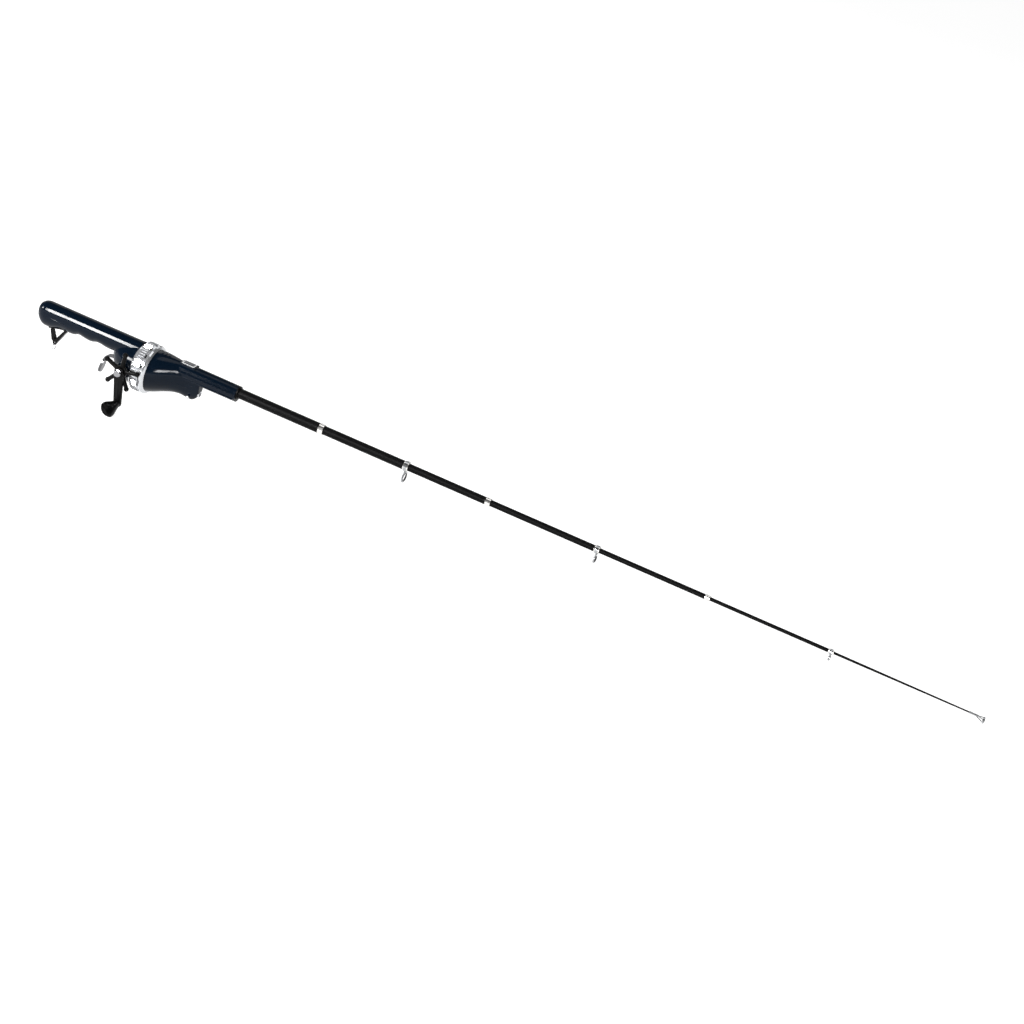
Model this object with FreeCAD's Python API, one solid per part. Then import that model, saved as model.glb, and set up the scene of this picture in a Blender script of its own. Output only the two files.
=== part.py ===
"""Telescopic ice fishing rod with a closed-face reel built into its handle.

The rod lies along +X from its butt to its tip, on the X axis. +Z is up: the reel, the
trigger and the line guides hang below the rod. The crank is on the -Y side.
All sizes are in millimetres.
"""
import FreeCAD, Part
import math
import os

# ---------------------------------------------------------------- driving dimensions
# Fits
SLIDE_GAP = 0.05          # radial gap of everything that runs or slides
SEAT_GAP = 0.02           # radial gap of everything that is pressed or glued in

# Rod blanks, from the butt one to the tip one
BLANK_DIA = (13.0, 11.4, 9.5, 8.1, 6.3, 4.6, 3.2)
BLANK_SHOWN = (122.0, 120.0, 114.0, 149.0, 148.0, 162.0, 185.0)
TIP_DIA = 1.8
OVERLAP = 22.0            # how far each blank stays inside the one before it
SWELL_STEP = 0.25         # how far a blank's swelled butt stands out from the blank
STOP_GAP = 0.3            # play left between a swelled butt and the lip that stops it

# Ferrules on the blanks' front ends
FERRULE_WALL = 0.6
FERRULE_GRIP = 5.5
FERRULE_LIP = 1.5
FERRULE_GROOVE = 0.3

# Line guides: blank they are on, bore radius, ring radius, depth of the ring below the rod
GUIDES = {"a": (2, 4.8, 6.1, 15.2), "b": (4, 3.2, 4.3, 13.2), "c": (6, 1.9, 2.8, 8.2)}
GUIDE_THICK = 2.2
GUIDE_ROUND = 0.45        # share of a ring's wall that is rounded off
GUIDE_FOOT = (0.55, 0.80) # where a wire leaves the band, as shares of its radius
GUIDE_BRACE = (0.50, 0.87)
WIRE_R = 0.6
RIM_HALF = 0.8            # half width of the wire loop round a ring
TIP_RING_BORE = 2.0
TIP_RING_R = 3.0
TIP_RING_AHEAD = 9.0
TIP_RING_DROP = 2.4
TIP_FOOT = (0.8, 0.6)      # where a wire meets the tip loop, as shares of its radius
TIP_TUBE_LENGTH = 12.0
TIP_TUBE_AHEAD = 2.0
TIP_TUBE_R = 1.5
TIP_TUBE_END_R = 1.2

# Storage tube that the blanks slide into
TUBE_WALL = 0.75
TUBE_X0 = 13.0
NOSE_X = 290.0            # front of the nose collar's seat
NOSE_COLLAR_LENGTH = 8.0
NOSE_COLLAR_R = 8.6
NOSE_FLANGE = 2.0
NOSE_BEVEL = 0.6

# Grip: position along the rod, half width, depth below the rod axis
BARREL_R = 12.3
CAP_X = 11.0
GRIP_FORM = (
    (11.0, 12.6, 21.4), (17.0, 12.6, 21.4), (27.0, 12.4, 18.6), (38.0, 12.3, 16.2),
    (46.0, 12.3, 17.3), (53.0, 12.3, 17.0), (61.5, 12.3, 13.3), (70.0, 12.3, 15.2),
    (77.0, 12.3, 16.0), (82.5, 12.3, 15.2), (88.0, 12.3, 12.9), (95.0, 12.3, 13.3),
    (102.0, 12.3, 14.8), (109.0, 12.3, 15.0), (118.0, 12.3, 14.0), (150.0, 12.3, 14.0),
)
CAP_FORM = (
    (0.0, 7.8, 7.2, 12.6), (0.5, 8.8, 8.2, 14.2), (3.0, 10.6, 10.2, 17.4),
    (5.6, 11.8, 11.5, 19.6), (8.2, 12.4, 12.1, 20.9), (11.0, 12.6, 12.3, 21.4),
)
SHELL_WALL = 2.0
RIB_X = (15.0, 40.0, 64.0, 88.0, 112.0)
RIB_THICK = 2.4
CAP_PLUG = 5.0
CAP_PLUG_WALL = 2.0

# Reel: its axis hangs below the rod axis, and its crank turns on a line along Y
REEL_Z = -19.0
CRANK_X = 143.5
BODY_FRONT_X = 150.0
# Gear body: position along the rod, centre height, half width, half height
GEAR_BODY_FORM = (
    (113.5, -14.0, 6.0, 7.0), (115.5, -15.0, 9.5, 10.0), (119.0, -15.5, 14.0, 14.0),
    (126.0, -16.5, 19.5, 19.5), (136.0, -18.0, 24.6, 24.6), (150.0, -19.0, 28.4, 28.4),
)
SPIGOT_R = 25.3
SPIGOT_WALL = 2.0
SPIGOT_LENGTH = 8.5
BOSS_R = 11.0
BOSS_Y = -31.1
BOSS_WALL = 2.0
BOSS_CORE_R = 6.5
BOSS_ROUND = 2.5
BOSS_INNER_Y = -8.0

# Cover ring: outline from its rear edge to its front edge, radius about the reel axis
RING_FORM = (
    (150.0, 28.6), (151.6, 30.2), (153.6, 31.4), (163.6, 31.4), (164.2, 30.9),
    (166.0, 30.9), (166.8, 31.9), (168.6, 32.3), (170.4, 31.3), (172.0, 28.8),
)
RING_REAR_X = 150.0
RING_FRONT_X = 172.0
RING_BORE_R = SPIGOT_R + SLIDE_GAP
RING_CHAMBER_R = 29.2
RING_CHAMBER_X = (154.5, 168.0)
RING_WALL_STEP = 1.0
KNURL_X = (153.8, 163.4)
KNURL_R = 32.5
KNURL_DEPTH = 1.0
KNURL_COUNT = 56
KNURL_SHARE = 0.28         # half width of a rib or groove, as a share of the pitch
WINDOW_COUNT = 14
WINDOW_X = 165.1
WINDOW_R = 1.2
WINDOW_STRETCH = 3.2

# Front housing: position along the rod, half width, top height, bottom height
HOUSING_FORM = (
    (172.0, 28.2, 9.2, -47.2), (178.0, 26.9, 9.6, -45.2), (186.0, 24.3, 9.6, -41.7),
    (195.0, 20.4, 9.4, -38.0), (205.0, 15.8, 9.0, -34.8), (214.0, 12.0, 8.4, -33.8),
    (222.0, 9.2, 7.6, -35.2), (229.0, 7.6, 6.0, -36.0), (235.0, 6.6, 3.0, -32.0),
    (239.0, 5.6, -1.0, -26.0),
)
HOUSING_WALL = 2.0
CAVITY_END_X = 206.0
SLEEVE_R = 11.0
SLEEVE_Z = -1.8
SLEEVE_X0 = 176.0
SLEEVE_TIP_R = 10.4
SLEEVE_RIB_R = 1.3
SLEEVE_RIB_SINK = 0.45
SLEEVE_RIB_Z = (-0.5, -7.0)
SLEEVE_RIB_X = (200.0, 286.0)
PLATE_LENGTH = 18.0
PLATE_WIDTH = 10.0
PLATE_THICK = 1.0
PLATE_X = 217.0
PLATE_TOP = 9.8
PLATE_ROUND = 1.2
SADDLE_EDGE = (2.0, 1.2)  # how far the saddle reaches past the plate, along and across
SADDLE_ROUND = 1.0
TOP_RIBS_X = (178.0, 183.0, 188.0)
TOP_RIB_HALF = 6.0
TOP_RIB_THICK = 1.6
TOP_RIB_RISE = 0.9

# Line outlet in the snout
OUTLET_Z = -24.5
OUTLET_R = 2.2
OUTLET_PASSAGE_R = 2.6
EYELET_R = 4.2
EYELET_LENGTH = 6.0
EYELET_FLANGE = 1.4
EYELET_ROUND = 0.5
EYELET_PROUD = 0.6
SNOUT_PIN_X = 227.0
SNOUT_PIN_Z = -30.5
SNOUT_PIN_R = 1.1
SNOUT_PIN_HEAD_R = 2.1
SNOUT_PIN_HEAD = 0.9
SNOUT_PIN_ROUND = 0.6
SNOUT_PIN_HALF = 8.2

# Gear train
MODULE = 0.8
PINION_TEETH = 10
CROWN_TEETH = 28
TOOTH_SHARE = 0.37        # tooth thickness at the pitch line, as a share of the pitch
TOOTH_TAPER = 0.20        # how much narrower half a tooth gets over one module of height
ADDENDUM = 0.85
DEDENDUM = 1.30
GEAR_FACE = 3.2
GEAR_CLEAR = 0.3
TOOTH_ROOT = 0.3          # how deep a tooth is rooted in its blank
CROWN_WEB = 3.0
CROWN_HUB = 2.0
CROWN_BUSH_GAP = 1.0
MAIN_SHAFT_R = 2.0
CRANK_SHAFT_R = 2.5
CRANK_BUSH_R = 4.5
CRANK_BUSH_LENGTH = 4.0

# Bulkhead, spool and rotor
BULKHEAD_THICK = 3.0
VENT_R = 3.4
VENT_CIRCLE_R = 16.5
VENT_ANGLES = (60, 120, 180, 240, 300)
HUB_R = 4.6
HUB_LENGTH = 14.0
MAIN_BUSH_R = 3.1
MAIN_BUSH_LENGTH = 4.0
SPOOL_R = 9.6
SPOOL_CORE_R = 6.0
SPOOL_LENGTH = 11.0
SPOOL_FLANGE = 1.2
SPOOL_FILLET = 0.4
SPOOL_BEHIND = 0.6
ROTOR_WALL = 0.9
ROTOR_GAP = 0.5
ROTOR_SKIRT = 5.0
ROTOR_DOME = 7.0
ROTOR_BRIM = 1.2
ROTOR_NOSE = ((0.5, 0.82), (1.0, 0.45))    # shares of the dome's length and of its radius
PICKUP_R = 0.6
PICKUP_REACH = 0.5
ROTOR_NUT_R = 4.2
ROTOR_NUT_LENGTH = 2.6

# Crank, star wheel and knob
WASHER_R = 6.5
WASHER_COUNT = 3
WASHER_THICK = 0.9
WASHER_STEP = 0.6         # how much smaller every second washer is
WASHER_GAP = 0.2
STAR_Y = -38.8
STAR_THICK = 4.4
STAR_HUB_R = 8.5
STAR_ARMS = 5
STAR_TURN = 13.0
STAR_REACH = 27.0
STAR_ARM_R = 2.15
STAR_TIP_R = 3.3
STAR_BULGE = 1.0
STAR_HUB_ROUND = 0.8
ARM_GAP = 0.6
ARM_THICK = 3.4
ARM_REACH = 42.0
ARM_LEAN = 8.0
ARM_HUB_R = 6.6
ARM_END_R = 5.2
ARM_ROUND = 0.9
CRANK_NUT_R = 4.8
CRANK_NUT_LENGTH = 4.6
CRANK_NUT_ROUND = 1.2
CRANK_NUT_FLAT = 3.7      # height of a flat above the nut's axis
AXLE_R = 1.6
AXLE_HEAD_R = 2.6
AXLE_HEAD = 1.4
AXLE_SINK = 0.8
KNOB_LENGTH = 30.0
KNOB_TURN = -41.0
KNOB_GAP = 0.4
# Knob: share of its length from the arm, half width, half thickness
KNOB_FORM = (
    (0.0, 4.8, 4.6), (0.12, 5.6, 5.0), (0.35, 7.6, 5.4), (0.6, 10.0, 5.7),
    (0.8, 10.6, 5.6), (0.93, 9.0, 4.6), (1.0, 6.0, 3.0),
)

# Trigger
TRIGGER_X = 120.0
TRIGGER_Z = -24.5
TRIGGER_PIN_R = 1.2
TRIGGER_EYE_R = 3.0
TRIGGER_PIN_HALF = 7.0
TRIGGER_BOSS_R = 2.2
TRIGGER_HALF = 1.6
TRIGGER_SIDE_GAP = 0.3
TRIGGER_SLOT_X = (-16.0, 5.0)
TRIGGER_SLOT_Z = (-4.6, 6.0)
TRIGGER_HORN = 12.0
TRIGGER_HORN_LEAN = 0.4
TRIGGER_HORN_R = (2.4, 1.6)
TRIGGER_PATH = ((120.0, -24.5, 2.4), (111.5, -23.6, 2.0), (106.5, -25.0, 1.8),
                (102.0, -29.0, 1.7), (99.8, -34.0, 1.7))
PAD_TOP = (100.0, -34.5)
PAD_BOTTOM = (97.2, -50.5)
PAD_R = 1.7
PAD_HALF = 5.2
PAD_OVAL_STEPS = (-20.0, -12.0, -4.0, 4.0, 12.0)
SPRING_WIRE_R = 0.4
SPRING_TURNS = 3
SPRING_PITCH = 1.04
SPRING_PLAY = 0.25
SLIDER_X = (122.8, 150.5)
SLIDER_Y = (-1.8, 3.0)
SLIDER_Z = (-13.8, -10.6)
SLIDER_TOE_Z = -16.4
SLIDER_TOE = 2.0
SHELF_IN = (4.0, 6.0)     # how far the slider's shelf stops short of its ends
SHELF_THICK = 2.0
SHELF_LAP = 1.0           # how far shelf and rail reach past the slider's corners

# Wrist lanyard bracket under the butt
LUG_EYE = (27.2, -40.2)
LUG_REAR_TOP = (20.5, -22.6)
LUG_FRONT_TOP = (40.0, -18.4)
LUG_HALF = 3.2
LUG_BAR_R = (1.3, 1.8)    # top of the rear and of the front bar
LUG_EYE_R = 2.6
LUG_HOLE_R = 1.35
LUG_TONGUE_HALF = 1.2
LUG_TONGUE_Z = -36.2
LUG_PLATE_X = (16.5, 43.5)
LUG_PLATE_THICK = 1.2
LUG_PLATE_HALF = 4.6
LANYARD_RING_R = 4.4
LANYARD_WIRE_R = 0.6
LANYARD_PLAY = 0.3

# Screws that close the handle: position along the rod and height
SHELL_SCREWS = ((23.0, -14.0), (51.0, -11.6), (77.0, -11.0), (104.0, -10.7),
                (126.5, -32.0), (136.5, -38.0))
SCREW_R = 1.0
SCREW_HEAD_R = 2.0
SCREW_HEAD_DEPTH = 1.6
SCREW_HEAD_PLAY = 0.2
SCREW_HEAD_ROUND = 0.5
SCREW_SINK = 0.3
SCREW_BOSS_R = 2.5
SCREW_BITE = 5.5
SCREW_POINT_GAP = 0.5
DRIVE_DEEP = 0.8
DRIVE_CROSS = (0.6, 0.14)  # half length and half width of a slot, as shares of the head's radius

# ---------------------------------------------------------------- derived sizes
BLANK_R = tuple(dia / 2 for dia in BLANK_DIA)
BLANK_COUNT = len(BLANK_DIA)
TUBE_BORE_R = BLANK_R[0] + SWELL_STEP + SLIDE_GAP
TUBE_R = TUBE_BORE_R + TUBE_WALL
SPIGOT_END_X = BODY_FRONT_X + SPIGOT_LENGTH
BULKHEAD_END_X = SPIGOT_END_X + BULKHEAD_THICK
PITCH = math.pi * MODULE
PINION_R = MODULE * PINION_TEETH / 2
CROWN_R = MODULE * CROWN_TEETH / 2
CROWN_BACK = PINION_R + DEDENDUM * MODULE + CROWN_WEB
CROWN_TIP_Y = PINION_R - ADDENDUM * MODULE
CROWN_TUBE_GAP_R = -REEL_Z - math.sqrt((TUBE_R + GEAR_CLEAR) ** 2 - CROWN_TIP_Y ** 2)
CROWN_RIM_R = min(CROWN_R + GEAR_FACE / 2, CROWN_TUBE_GAP_R)
PINION_X = CRANK_X + CROWN_R
STAR_BACK_Y = STAR_Y + STAR_THICK
ARM_Y1 = STAR_Y - ARM_GAP
ARM_Y0 = ARM_Y1 - ARM_THICK
KNOB_X = CRANK_X + ARM_REACH * math.sin(math.radians(ARM_LEAN))
KNOB_Z = REEL_Z - ARM_REACH * math.cos(math.radians(ARM_LEAN))
SPRING_R = TRIGGER_BOSS_R + SPRING_PLAY + SPRING_WIRE_R
SPRING_Y = TRIGGER_HALF + TRIGGER_SIDE_GAP + 2 * SPRING_WIRE_R
SPRING_END_Y = SPRING_Y + SPRING_PITCH * SPRING_TURNS + 2 * SPRING_WIRE_R
LARGE = 400.0
OVERSHOOT = 1.0           # how far a cut or a joint runs past the face it goes through

V = FreeCAD.Vector
X_AXIS = V(1, 0, 0)
Y_AXIS = V(0, 1, 0)
Z_AXIS = V(0, 0, 1)
SECTION_POINTS = 12
LOFT_STEP = 4.0


# ---------------------------------------------------------------- shape helpers
def cyl_x(radius, x0, x1, y=0.0, z=0.0):
    """Cylinder along X between two positions."""
    return Part.makeCylinder(radius, x1 - x0, V(x0, y, z), X_AXIS)


def cyl_y(radius, y0, y1, x, z):
    """Cylinder along Y between two positions."""
    return Part.makeCylinder(radius, y1 - y0, V(x, y0, z), Y_AXIS)


def tube_x(outer, inner, x0, x1, z=0.0):
    """Plain tube along X."""
    return cyl_x(outer, x0, x1, 0, z).cut(cyl_x(inner, x0, x1, 0, z))


def tube_y(outer, inner, y0, y1, x, z):
    """Plain tube along Y."""
    return cyl_y(outer, y0, y1, x, z).cut(cyl_y(inner, y0, y1, x, z))


def block(x0, x1, y0, y1, z0, z1):
    """Box between two corners."""
    return Part.makeBox(x1 - x0, y1 - y0, z1 - z0, V(x0, y0, z0))


def fused(shapes):
    """Union of several shapes, with the seams between their faces removed."""
    first, rest = shapes[0], shapes[1:]
    return first.fuse(rest).removeSplitter() if rest else first


def revolved(outline, z):
    """Solid of revolution about the line along X at height z, from (x, radius) points."""
    points = [V(x, 0, z + radius) for x, radius in outline]
    face = Part.Face(Part.makePolygon(points + points[:1]))
    return face.revolve(V(0, 0, z), X_AXIS, 360)


def section(x, z, half_width, above, below):
    """Points round an egg-shaped section across X: one half ellipse above z and one below it."""
    points = []
    for step in range(SECTION_POINTS):
        angle = 2 * math.pi * step / SECTION_POINTS
        reach = above if math.sin(angle) > 0 else below
        points.append(V(x, half_width * math.cos(angle), z + reach * math.sin(angle)))
    return points


def slope_at(form, index, column):
    """Slope of one column of a form at one of its rows, flat at a crest or a dip."""
    def between(low):
        return (form[low + 1][column] - form[low][column]) / (form[low + 1][0] - form[low][0])
    if index == 0:
        return between(0)
    if index == len(form) - 1:
        return between(index - 1)
    before, after = between(index - 1), between(index)
    return 2 * before * after / (before + after) if before * after > 0 else 0.0


def eased(form):
    """Rows of a form at even steps along it, joined by smooth curves with no overshoot."""
    first, last = form[0][0], form[-1][0]
    count = max(8, round((last - first) / LOFT_STEP))
    rows = []
    for step in range(count + 1):
        x = first + (last - first) * step / count
        low = max(index for index in range(len(form) - 1) if form[index][0] <= x + 1e-9)
        width = form[low + 1][0] - form[low][0]
        t = (x - form[low][0]) / width
        row = [x]
        for column in range(1, len(form[0])):
            start, end = form[low][column], form[low + 1][column]
            lift = slope_at(form, low, column) * width
            land = slope_at(form, low + 1, column) * width
            row.append((2 * t ** 3 - 3 * t ** 2 + 1) * start + (t ** 3 - 2 * t ** 2 + t) * lift
                       + (3 * t ** 2 - 2 * t ** 3) * end + (t ** 3 - t ** 2) * land)
        rows.append(tuple(row))
    return rows


def widened(points):
    """Control points whose closed cubic curve runs through the section's own outline."""
    count = len(points)
    middle = sum(points, V()).multiply(1 / count)
    grow = 3 / (2 + math.cos(2 * math.pi / count))
    return [middle.add(point.sub(middle).multiply(grow)) for point in points]


def lofted(sections):
    """Smooth closed solid along a row of sections: one cubic skin and two flat ends."""
    poles = [widened(points) for points in sections]
    rows, count = len(poles), len(poles[0])
    along = [4] + [1] * (rows - 4) + [4]
    around = [1] * (count + 1)
    skin = Part.BSplineSurface()
    skin.buildFromPolesMultsKnots(poles, along, around, list(range(len(along))), list(range(len(around))),
                                  False, True, 3, 3)
    ends = [Part.Face(Part.Wire(skin.uIso(place).toShape())) for place in (0, len(along) - 1)]
    shell = Part.Shell([skin.toShape()] + ends)
    shell.sewShape()
    solid = Part.Solid(shell)
    if solid.Volume < 0:
        solid.reverse()
    return solid


def link(start, end, r0, r1, y0, y1):
    """Flat bar in the XZ plane with round ends, tapering from radius r0 to r1."""
    ax, az = start
    bx, bz = end
    run = math.hypot(bx - ax, bz - az)
    heading = math.atan2(bz - az, bx - ax)
    spread = math.acos((r0 - r1) / run)
    def rim(cx, cz, radius, angle):
        return V(cx + radius * math.cos(angle), y0, cz + radius * math.sin(angle))
    a_up, a_low = rim(ax, az, r0, heading + spread), rim(ax, az, r0, heading - spread)
    b_up, b_low = rim(bx, bz, r1, heading + spread), rim(bx, bz, r1, heading - spread)
    outline = Part.Wire([
        Part.Arc(a_up, rim(ax, az, r0, heading + math.pi), a_low).toShape(),
        Part.LineSegment(a_low, b_low).toShape(),
        Part.Arc(b_low, rim(bx, bz, r1, heading), b_up).toShape(),
        Part.LineSegment(b_up, a_up).toShape(),
    ])
    return Part.Face(outline).extrude(V(0, y1 - y0, 0))


def rod_between(start, end, radius):
    """Round bar between two points."""
    run = end.sub(start)
    return Part.makeCylinder(radius, run.Length, start, run)


def softened(shape, radius, pick):
    """Fillet the edges that pick() accepts."""
    edges = [edge for edge in shape.Edges if pick(edge)]
    return shape.makeFillet(radius, edges) if edges else shape


def at_y(edge, y):
    """True for an edge that lies in the plane across Y at this place."""
    return abs(edge.BoundBox.YMin - y) < 1e-4 and abs(edge.BoundBox.YMax - y) < 1e-4


def save(name, shape):
    """Write one sub-part."""
    shape.exportStep("parts/" + name + ".step")


# ---------------------------------------------------------------- rod
def station(index):
    """Front end of a blank, counted from 1, with the rod pulled out."""
    return NOSE_X + sum(BLANK_SHOWN[:index])


def bore_of(index):
    """Bore radius of a blank, or of the storage tube for 0."""
    return TUBE_BORE_R if index == 0 else BLANK_R[index] + SWELL_STEP + SLIDE_GAP


def make_blank(index):
    """One blank: a tube with a swelled butt that the ferrule in front of it stops."""
    front = station(index)
    rear = station(index - 1) - OVERLAP
    radius = BLANK_R[index - 1]
    lip = NOSE_X - NOSE_COLLAR_LENGTH if index == 1 else rear + OVERLAP
    swell = cyl_x(bore_of(index - 1) - SLIDE_GAP, rear, lip - STOP_GAP)
    if index == BLANK_COUNT:
        straight = cyl_x(radius, rear, rear + OVERLAP)
        taper = Part.makeCone(radius, TIP_DIA / 2, front - rear - OVERLAP, V(rear + OVERLAP, 0, 0), X_AXIS)
        return fused([straight, swell, taper])
    outside = fused([cyl_x(radius, rear, front), swell])
    return outside.cut(cyl_x(bore_of(index), rear, front))


def make_ferrule(index):
    """Metal ferrule: a cup pressed over the blank's front end, with a lip that guides the next blank."""
    front = station(index)
    radius = BLANK_R[index - 1]
    outer = radius + FERRULE_WALL
    x0, x1 = front - FERRULE_GRIP, front + FERRULE_LIP
    middle, half = (x0 + x1) / 2, FERRULE_GRIP / 5
    bevel = FERRULE_GROOVE
    outline = [
        (x0, radius + SEAT_GAP), (x0, outer - bevel), (x0 + bevel, outer),
        (middle - half - bevel, outer), (middle - half, outer - bevel),
        (middle + half, outer - bevel), (middle + half + bevel, outer),
        (x1 - bevel, outer), (x1, outer - bevel),
        (x1, BLANK_R[index] + SLIDE_GAP), (front, BLANK_R[index] + SLIDE_GAP),
        (front, radius + SEAT_GAP),
    ]
    return revolved(outline, 0)


def guide_place(letter):
    """Middle of a guide ring along the rod, and its height."""
    index, _, _, drop = GUIDES[letter]
    return station(index) + (FERRULE_LIP - FERRULE_GRIP) / 2, -drop


def make_guide_ring(letter):
    """Ceramic ring with rounded rims and a short straight bore."""
    _, bore, radius, _ = GUIDES[letter]
    x, z = guide_place(letter)
    return ring_solid(x, z, bore, radius)


def ring_solid(x, z, bore, radius):
    """Ring across X whose bore runs out into rounded rims on both sides."""
    half = GUIDE_THICK / 2
    round_off = (radius - bore) * GUIDE_ROUND
    outline = [
        (x - half, bore + round_off), (x - half + round_off, bore), (x + half - round_off, bore),
        (x + half, bore + round_off), (x + half, radius), (x - half, radius),
    ]
    return revolved(outline, z)


def make_guide_frame(letter):
    """Wire frame that hangs a guide ring under its ferrule."""
    index, _, radius, _ = GUIDES[letter]
    x, z = guide_place(letter)
    seat = BLANK_R[index - 1] + FERRULE_WALL + SEAT_GAP
    rim = tube_x(radius + 2 * WIRE_R, radius + SEAT_GAP, x - RIM_HALF, x + RIM_HALF, z)
    half = FERRULE_GRIP / 3
    band = tube_x(seat + WIRE_R, seat, x - half, x + half)
    arms = []
    for side in (-1, 1):
        foot = V(x, side * seat * GUIDE_FOOT[0], -seat * GUIDE_FOOT[1])
        head = V(x, side * (radius + WIRE_R), z)
        brace = V(x, side * (radius + WIRE_R) * GUIDE_BRACE[0], z + radius * GUIDE_BRACE[1] + WIRE_R)
        arms.append(rod_between(foot, head, WIRE_R))
        arms.append(rod_between(foot, brace, WIRE_R))
    frame = fused([band, rim] + arms)
    clear = cyl_x(seat, x - LARGE, x + LARGE).fuse(cyl_x(radius + SEAT_GAP, x - LARGE, x + LARGE, 0, z))
    return frame.cut(clear)


def tip_ring_place():
    """Middle of the last ring along the rod, and its height."""
    return station(BLANK_COUNT) + TIP_RING_AHEAD, -TIP_RING_DROP


def make_tip_top():
    """Tube on the blank's tip with the wire loop that carries the last ring."""
    front = station(BLANK_COUNT)
    x0, x1 = front + TIP_TUBE_AHEAD - TIP_TUBE_LENGTH, front + TIP_TUBE_AHEAD
    ring_x, ring_z = tip_ring_place()
    tube = Part.makeCone(TIP_TUBE_R, TIP_TUBE_END_R, x1 - x0, V(x0, 0, 0), X_AXIS)
    rim = tube_x(TIP_RING_R + 2 * WIRE_R, TIP_RING_R + SEAT_GAP,
                 ring_x - RIM_HALF, ring_x + RIM_HALF, ring_z)
    reach = TIP_RING_R + WIRE_R
    arms = [rod_between(V(front, 0, 0), V(ring_x, side * reach * TIP_FOOT[0], ring_z + reach * TIP_FOOT[1]),
                        WIRE_R) for side in (-1, 1)]
    arms.append(rod_between(V(front - TIP_TUBE_AHEAD, 0, -WIRE_R), V(ring_x, 0, ring_z - reach), WIRE_R))
    whole = fused([tube, rim] + arms)
    ring_seat = cyl_x(TIP_RING_R + SEAT_GAP, ring_x - 2 * WIRE_R, ring_x + LARGE, 0, ring_z)
    return whole.cut(fused([taper_bore(x0), ring_seat]))


def taper_bore(x0):
    """Hole in the tip-top that fits over the tapered tip blank."""
    front = station(BLANK_COUNT)
    taper_start = station(BLANK_COUNT - 1)
    slope = (BLANK_R[-1] - TIP_DIA / 2) / (front - taper_start)
    wide = TIP_DIA / 2 + slope * (front - x0) + SEAT_GAP
    return Part.makeCone(wide, TIP_DIA / 2 + SEAT_GAP, front - x0, V(x0, 0, 0), X_AXIS)


def make_tip_ring():
    """Ceramic ring in the tip-top."""
    ring_x, ring_z = tip_ring_place()
    return ring_solid(ring_x, ring_z, TIP_RING_BORE, TIP_RING_R)


# ---------------------------------------------------------------- handle
def grip_solid(inset, x0, x1):
    """The grip's outer form, or its hollow when inset by the shell's wall."""
    rows = [section(x, 0, half - inset, BARREL_R - inset, depth - inset)
            for x, half, depth in eased(GRIP_FORM)]
    return lofted(rows).common(block(x0, x1, -LARGE, LARGE, -LARGE, LARGE))


def gear_body_solid(inset, x0, x1):
    """The swelling round the gears, or its hollow when inset by the shell's wall."""
    rows = [section(x, z, half - inset, high - inset, high - inset)
            for x, z, half, high in eased(GEAR_BODY_FORM)]
    return lofted(rows).common(block(x0, x1, -LARGE, LARGE, -LARGE, LARGE))


def tube_space():
    """Room for the storage tube through everything round it."""
    return cyl_x(TUBE_R + SEAT_GAP, -LARGE, LARGE)


def handle_hollow():
    """Inside of the handle behind its front wall, with ribs left standing round the storage tube."""
    front = BODY_FRONT_X - SHELL_WALL
    hollow = grip_solid(SHELL_WALL, CAP_X, front)
    for x in RIB_X[1:]:
        hollow = hollow.cut(block(x, x + RIB_THICK, -LARGE, LARGE, -LARGE, LARGE))
    return hollow.fuse(gear_body_solid(SHELL_WALL, GEAR_BODY_FORM[0][0], front))


def screw_seat_y(x, z, outer):
    """Place of the seat under a screw's head, deep enough that the whole head is below the surface."""
    air = cyl_y(SCREW_HEAD_R, 0, LARGE, x, z).cut(outer)
    return air.optimalBoundingBox(False, False).YMin - SCREW_HEAD_DEPTH - SCREW_SINK


def trigger_slot():
    """Slot in the back of the neck that the trigger swings in."""
    half = TRIGGER_HALF + TRIGGER_SIDE_GAP
    return block(TRIGGER_X + TRIGGER_SLOT_X[0], TRIGGER_X + TRIGGER_SLOT_X[1], -half, half,
                 TRIGGER_Z + TRIGGER_SLOT_Z[0], TRIGGER_Z + TRIGGER_SLOT_Z[1])


def make_screw(x, z, seat):
    """One handle screw with its head on the seat."""
    top = seat + SCREW_HEAD_DEPTH
    head = softened(cyl_y(SCREW_HEAD_R, seat, top, x, z), SCREW_HEAD_ROUND, lambda edge: at_y(edge, top))
    shank = cyl_y(SCREW_R - SEAT_GAP, SCREW_POINT_GAP - SCREW_BITE, seat, x, z)
    return fused([head, shank]).cut(cross_recess(x, top, z))


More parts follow.
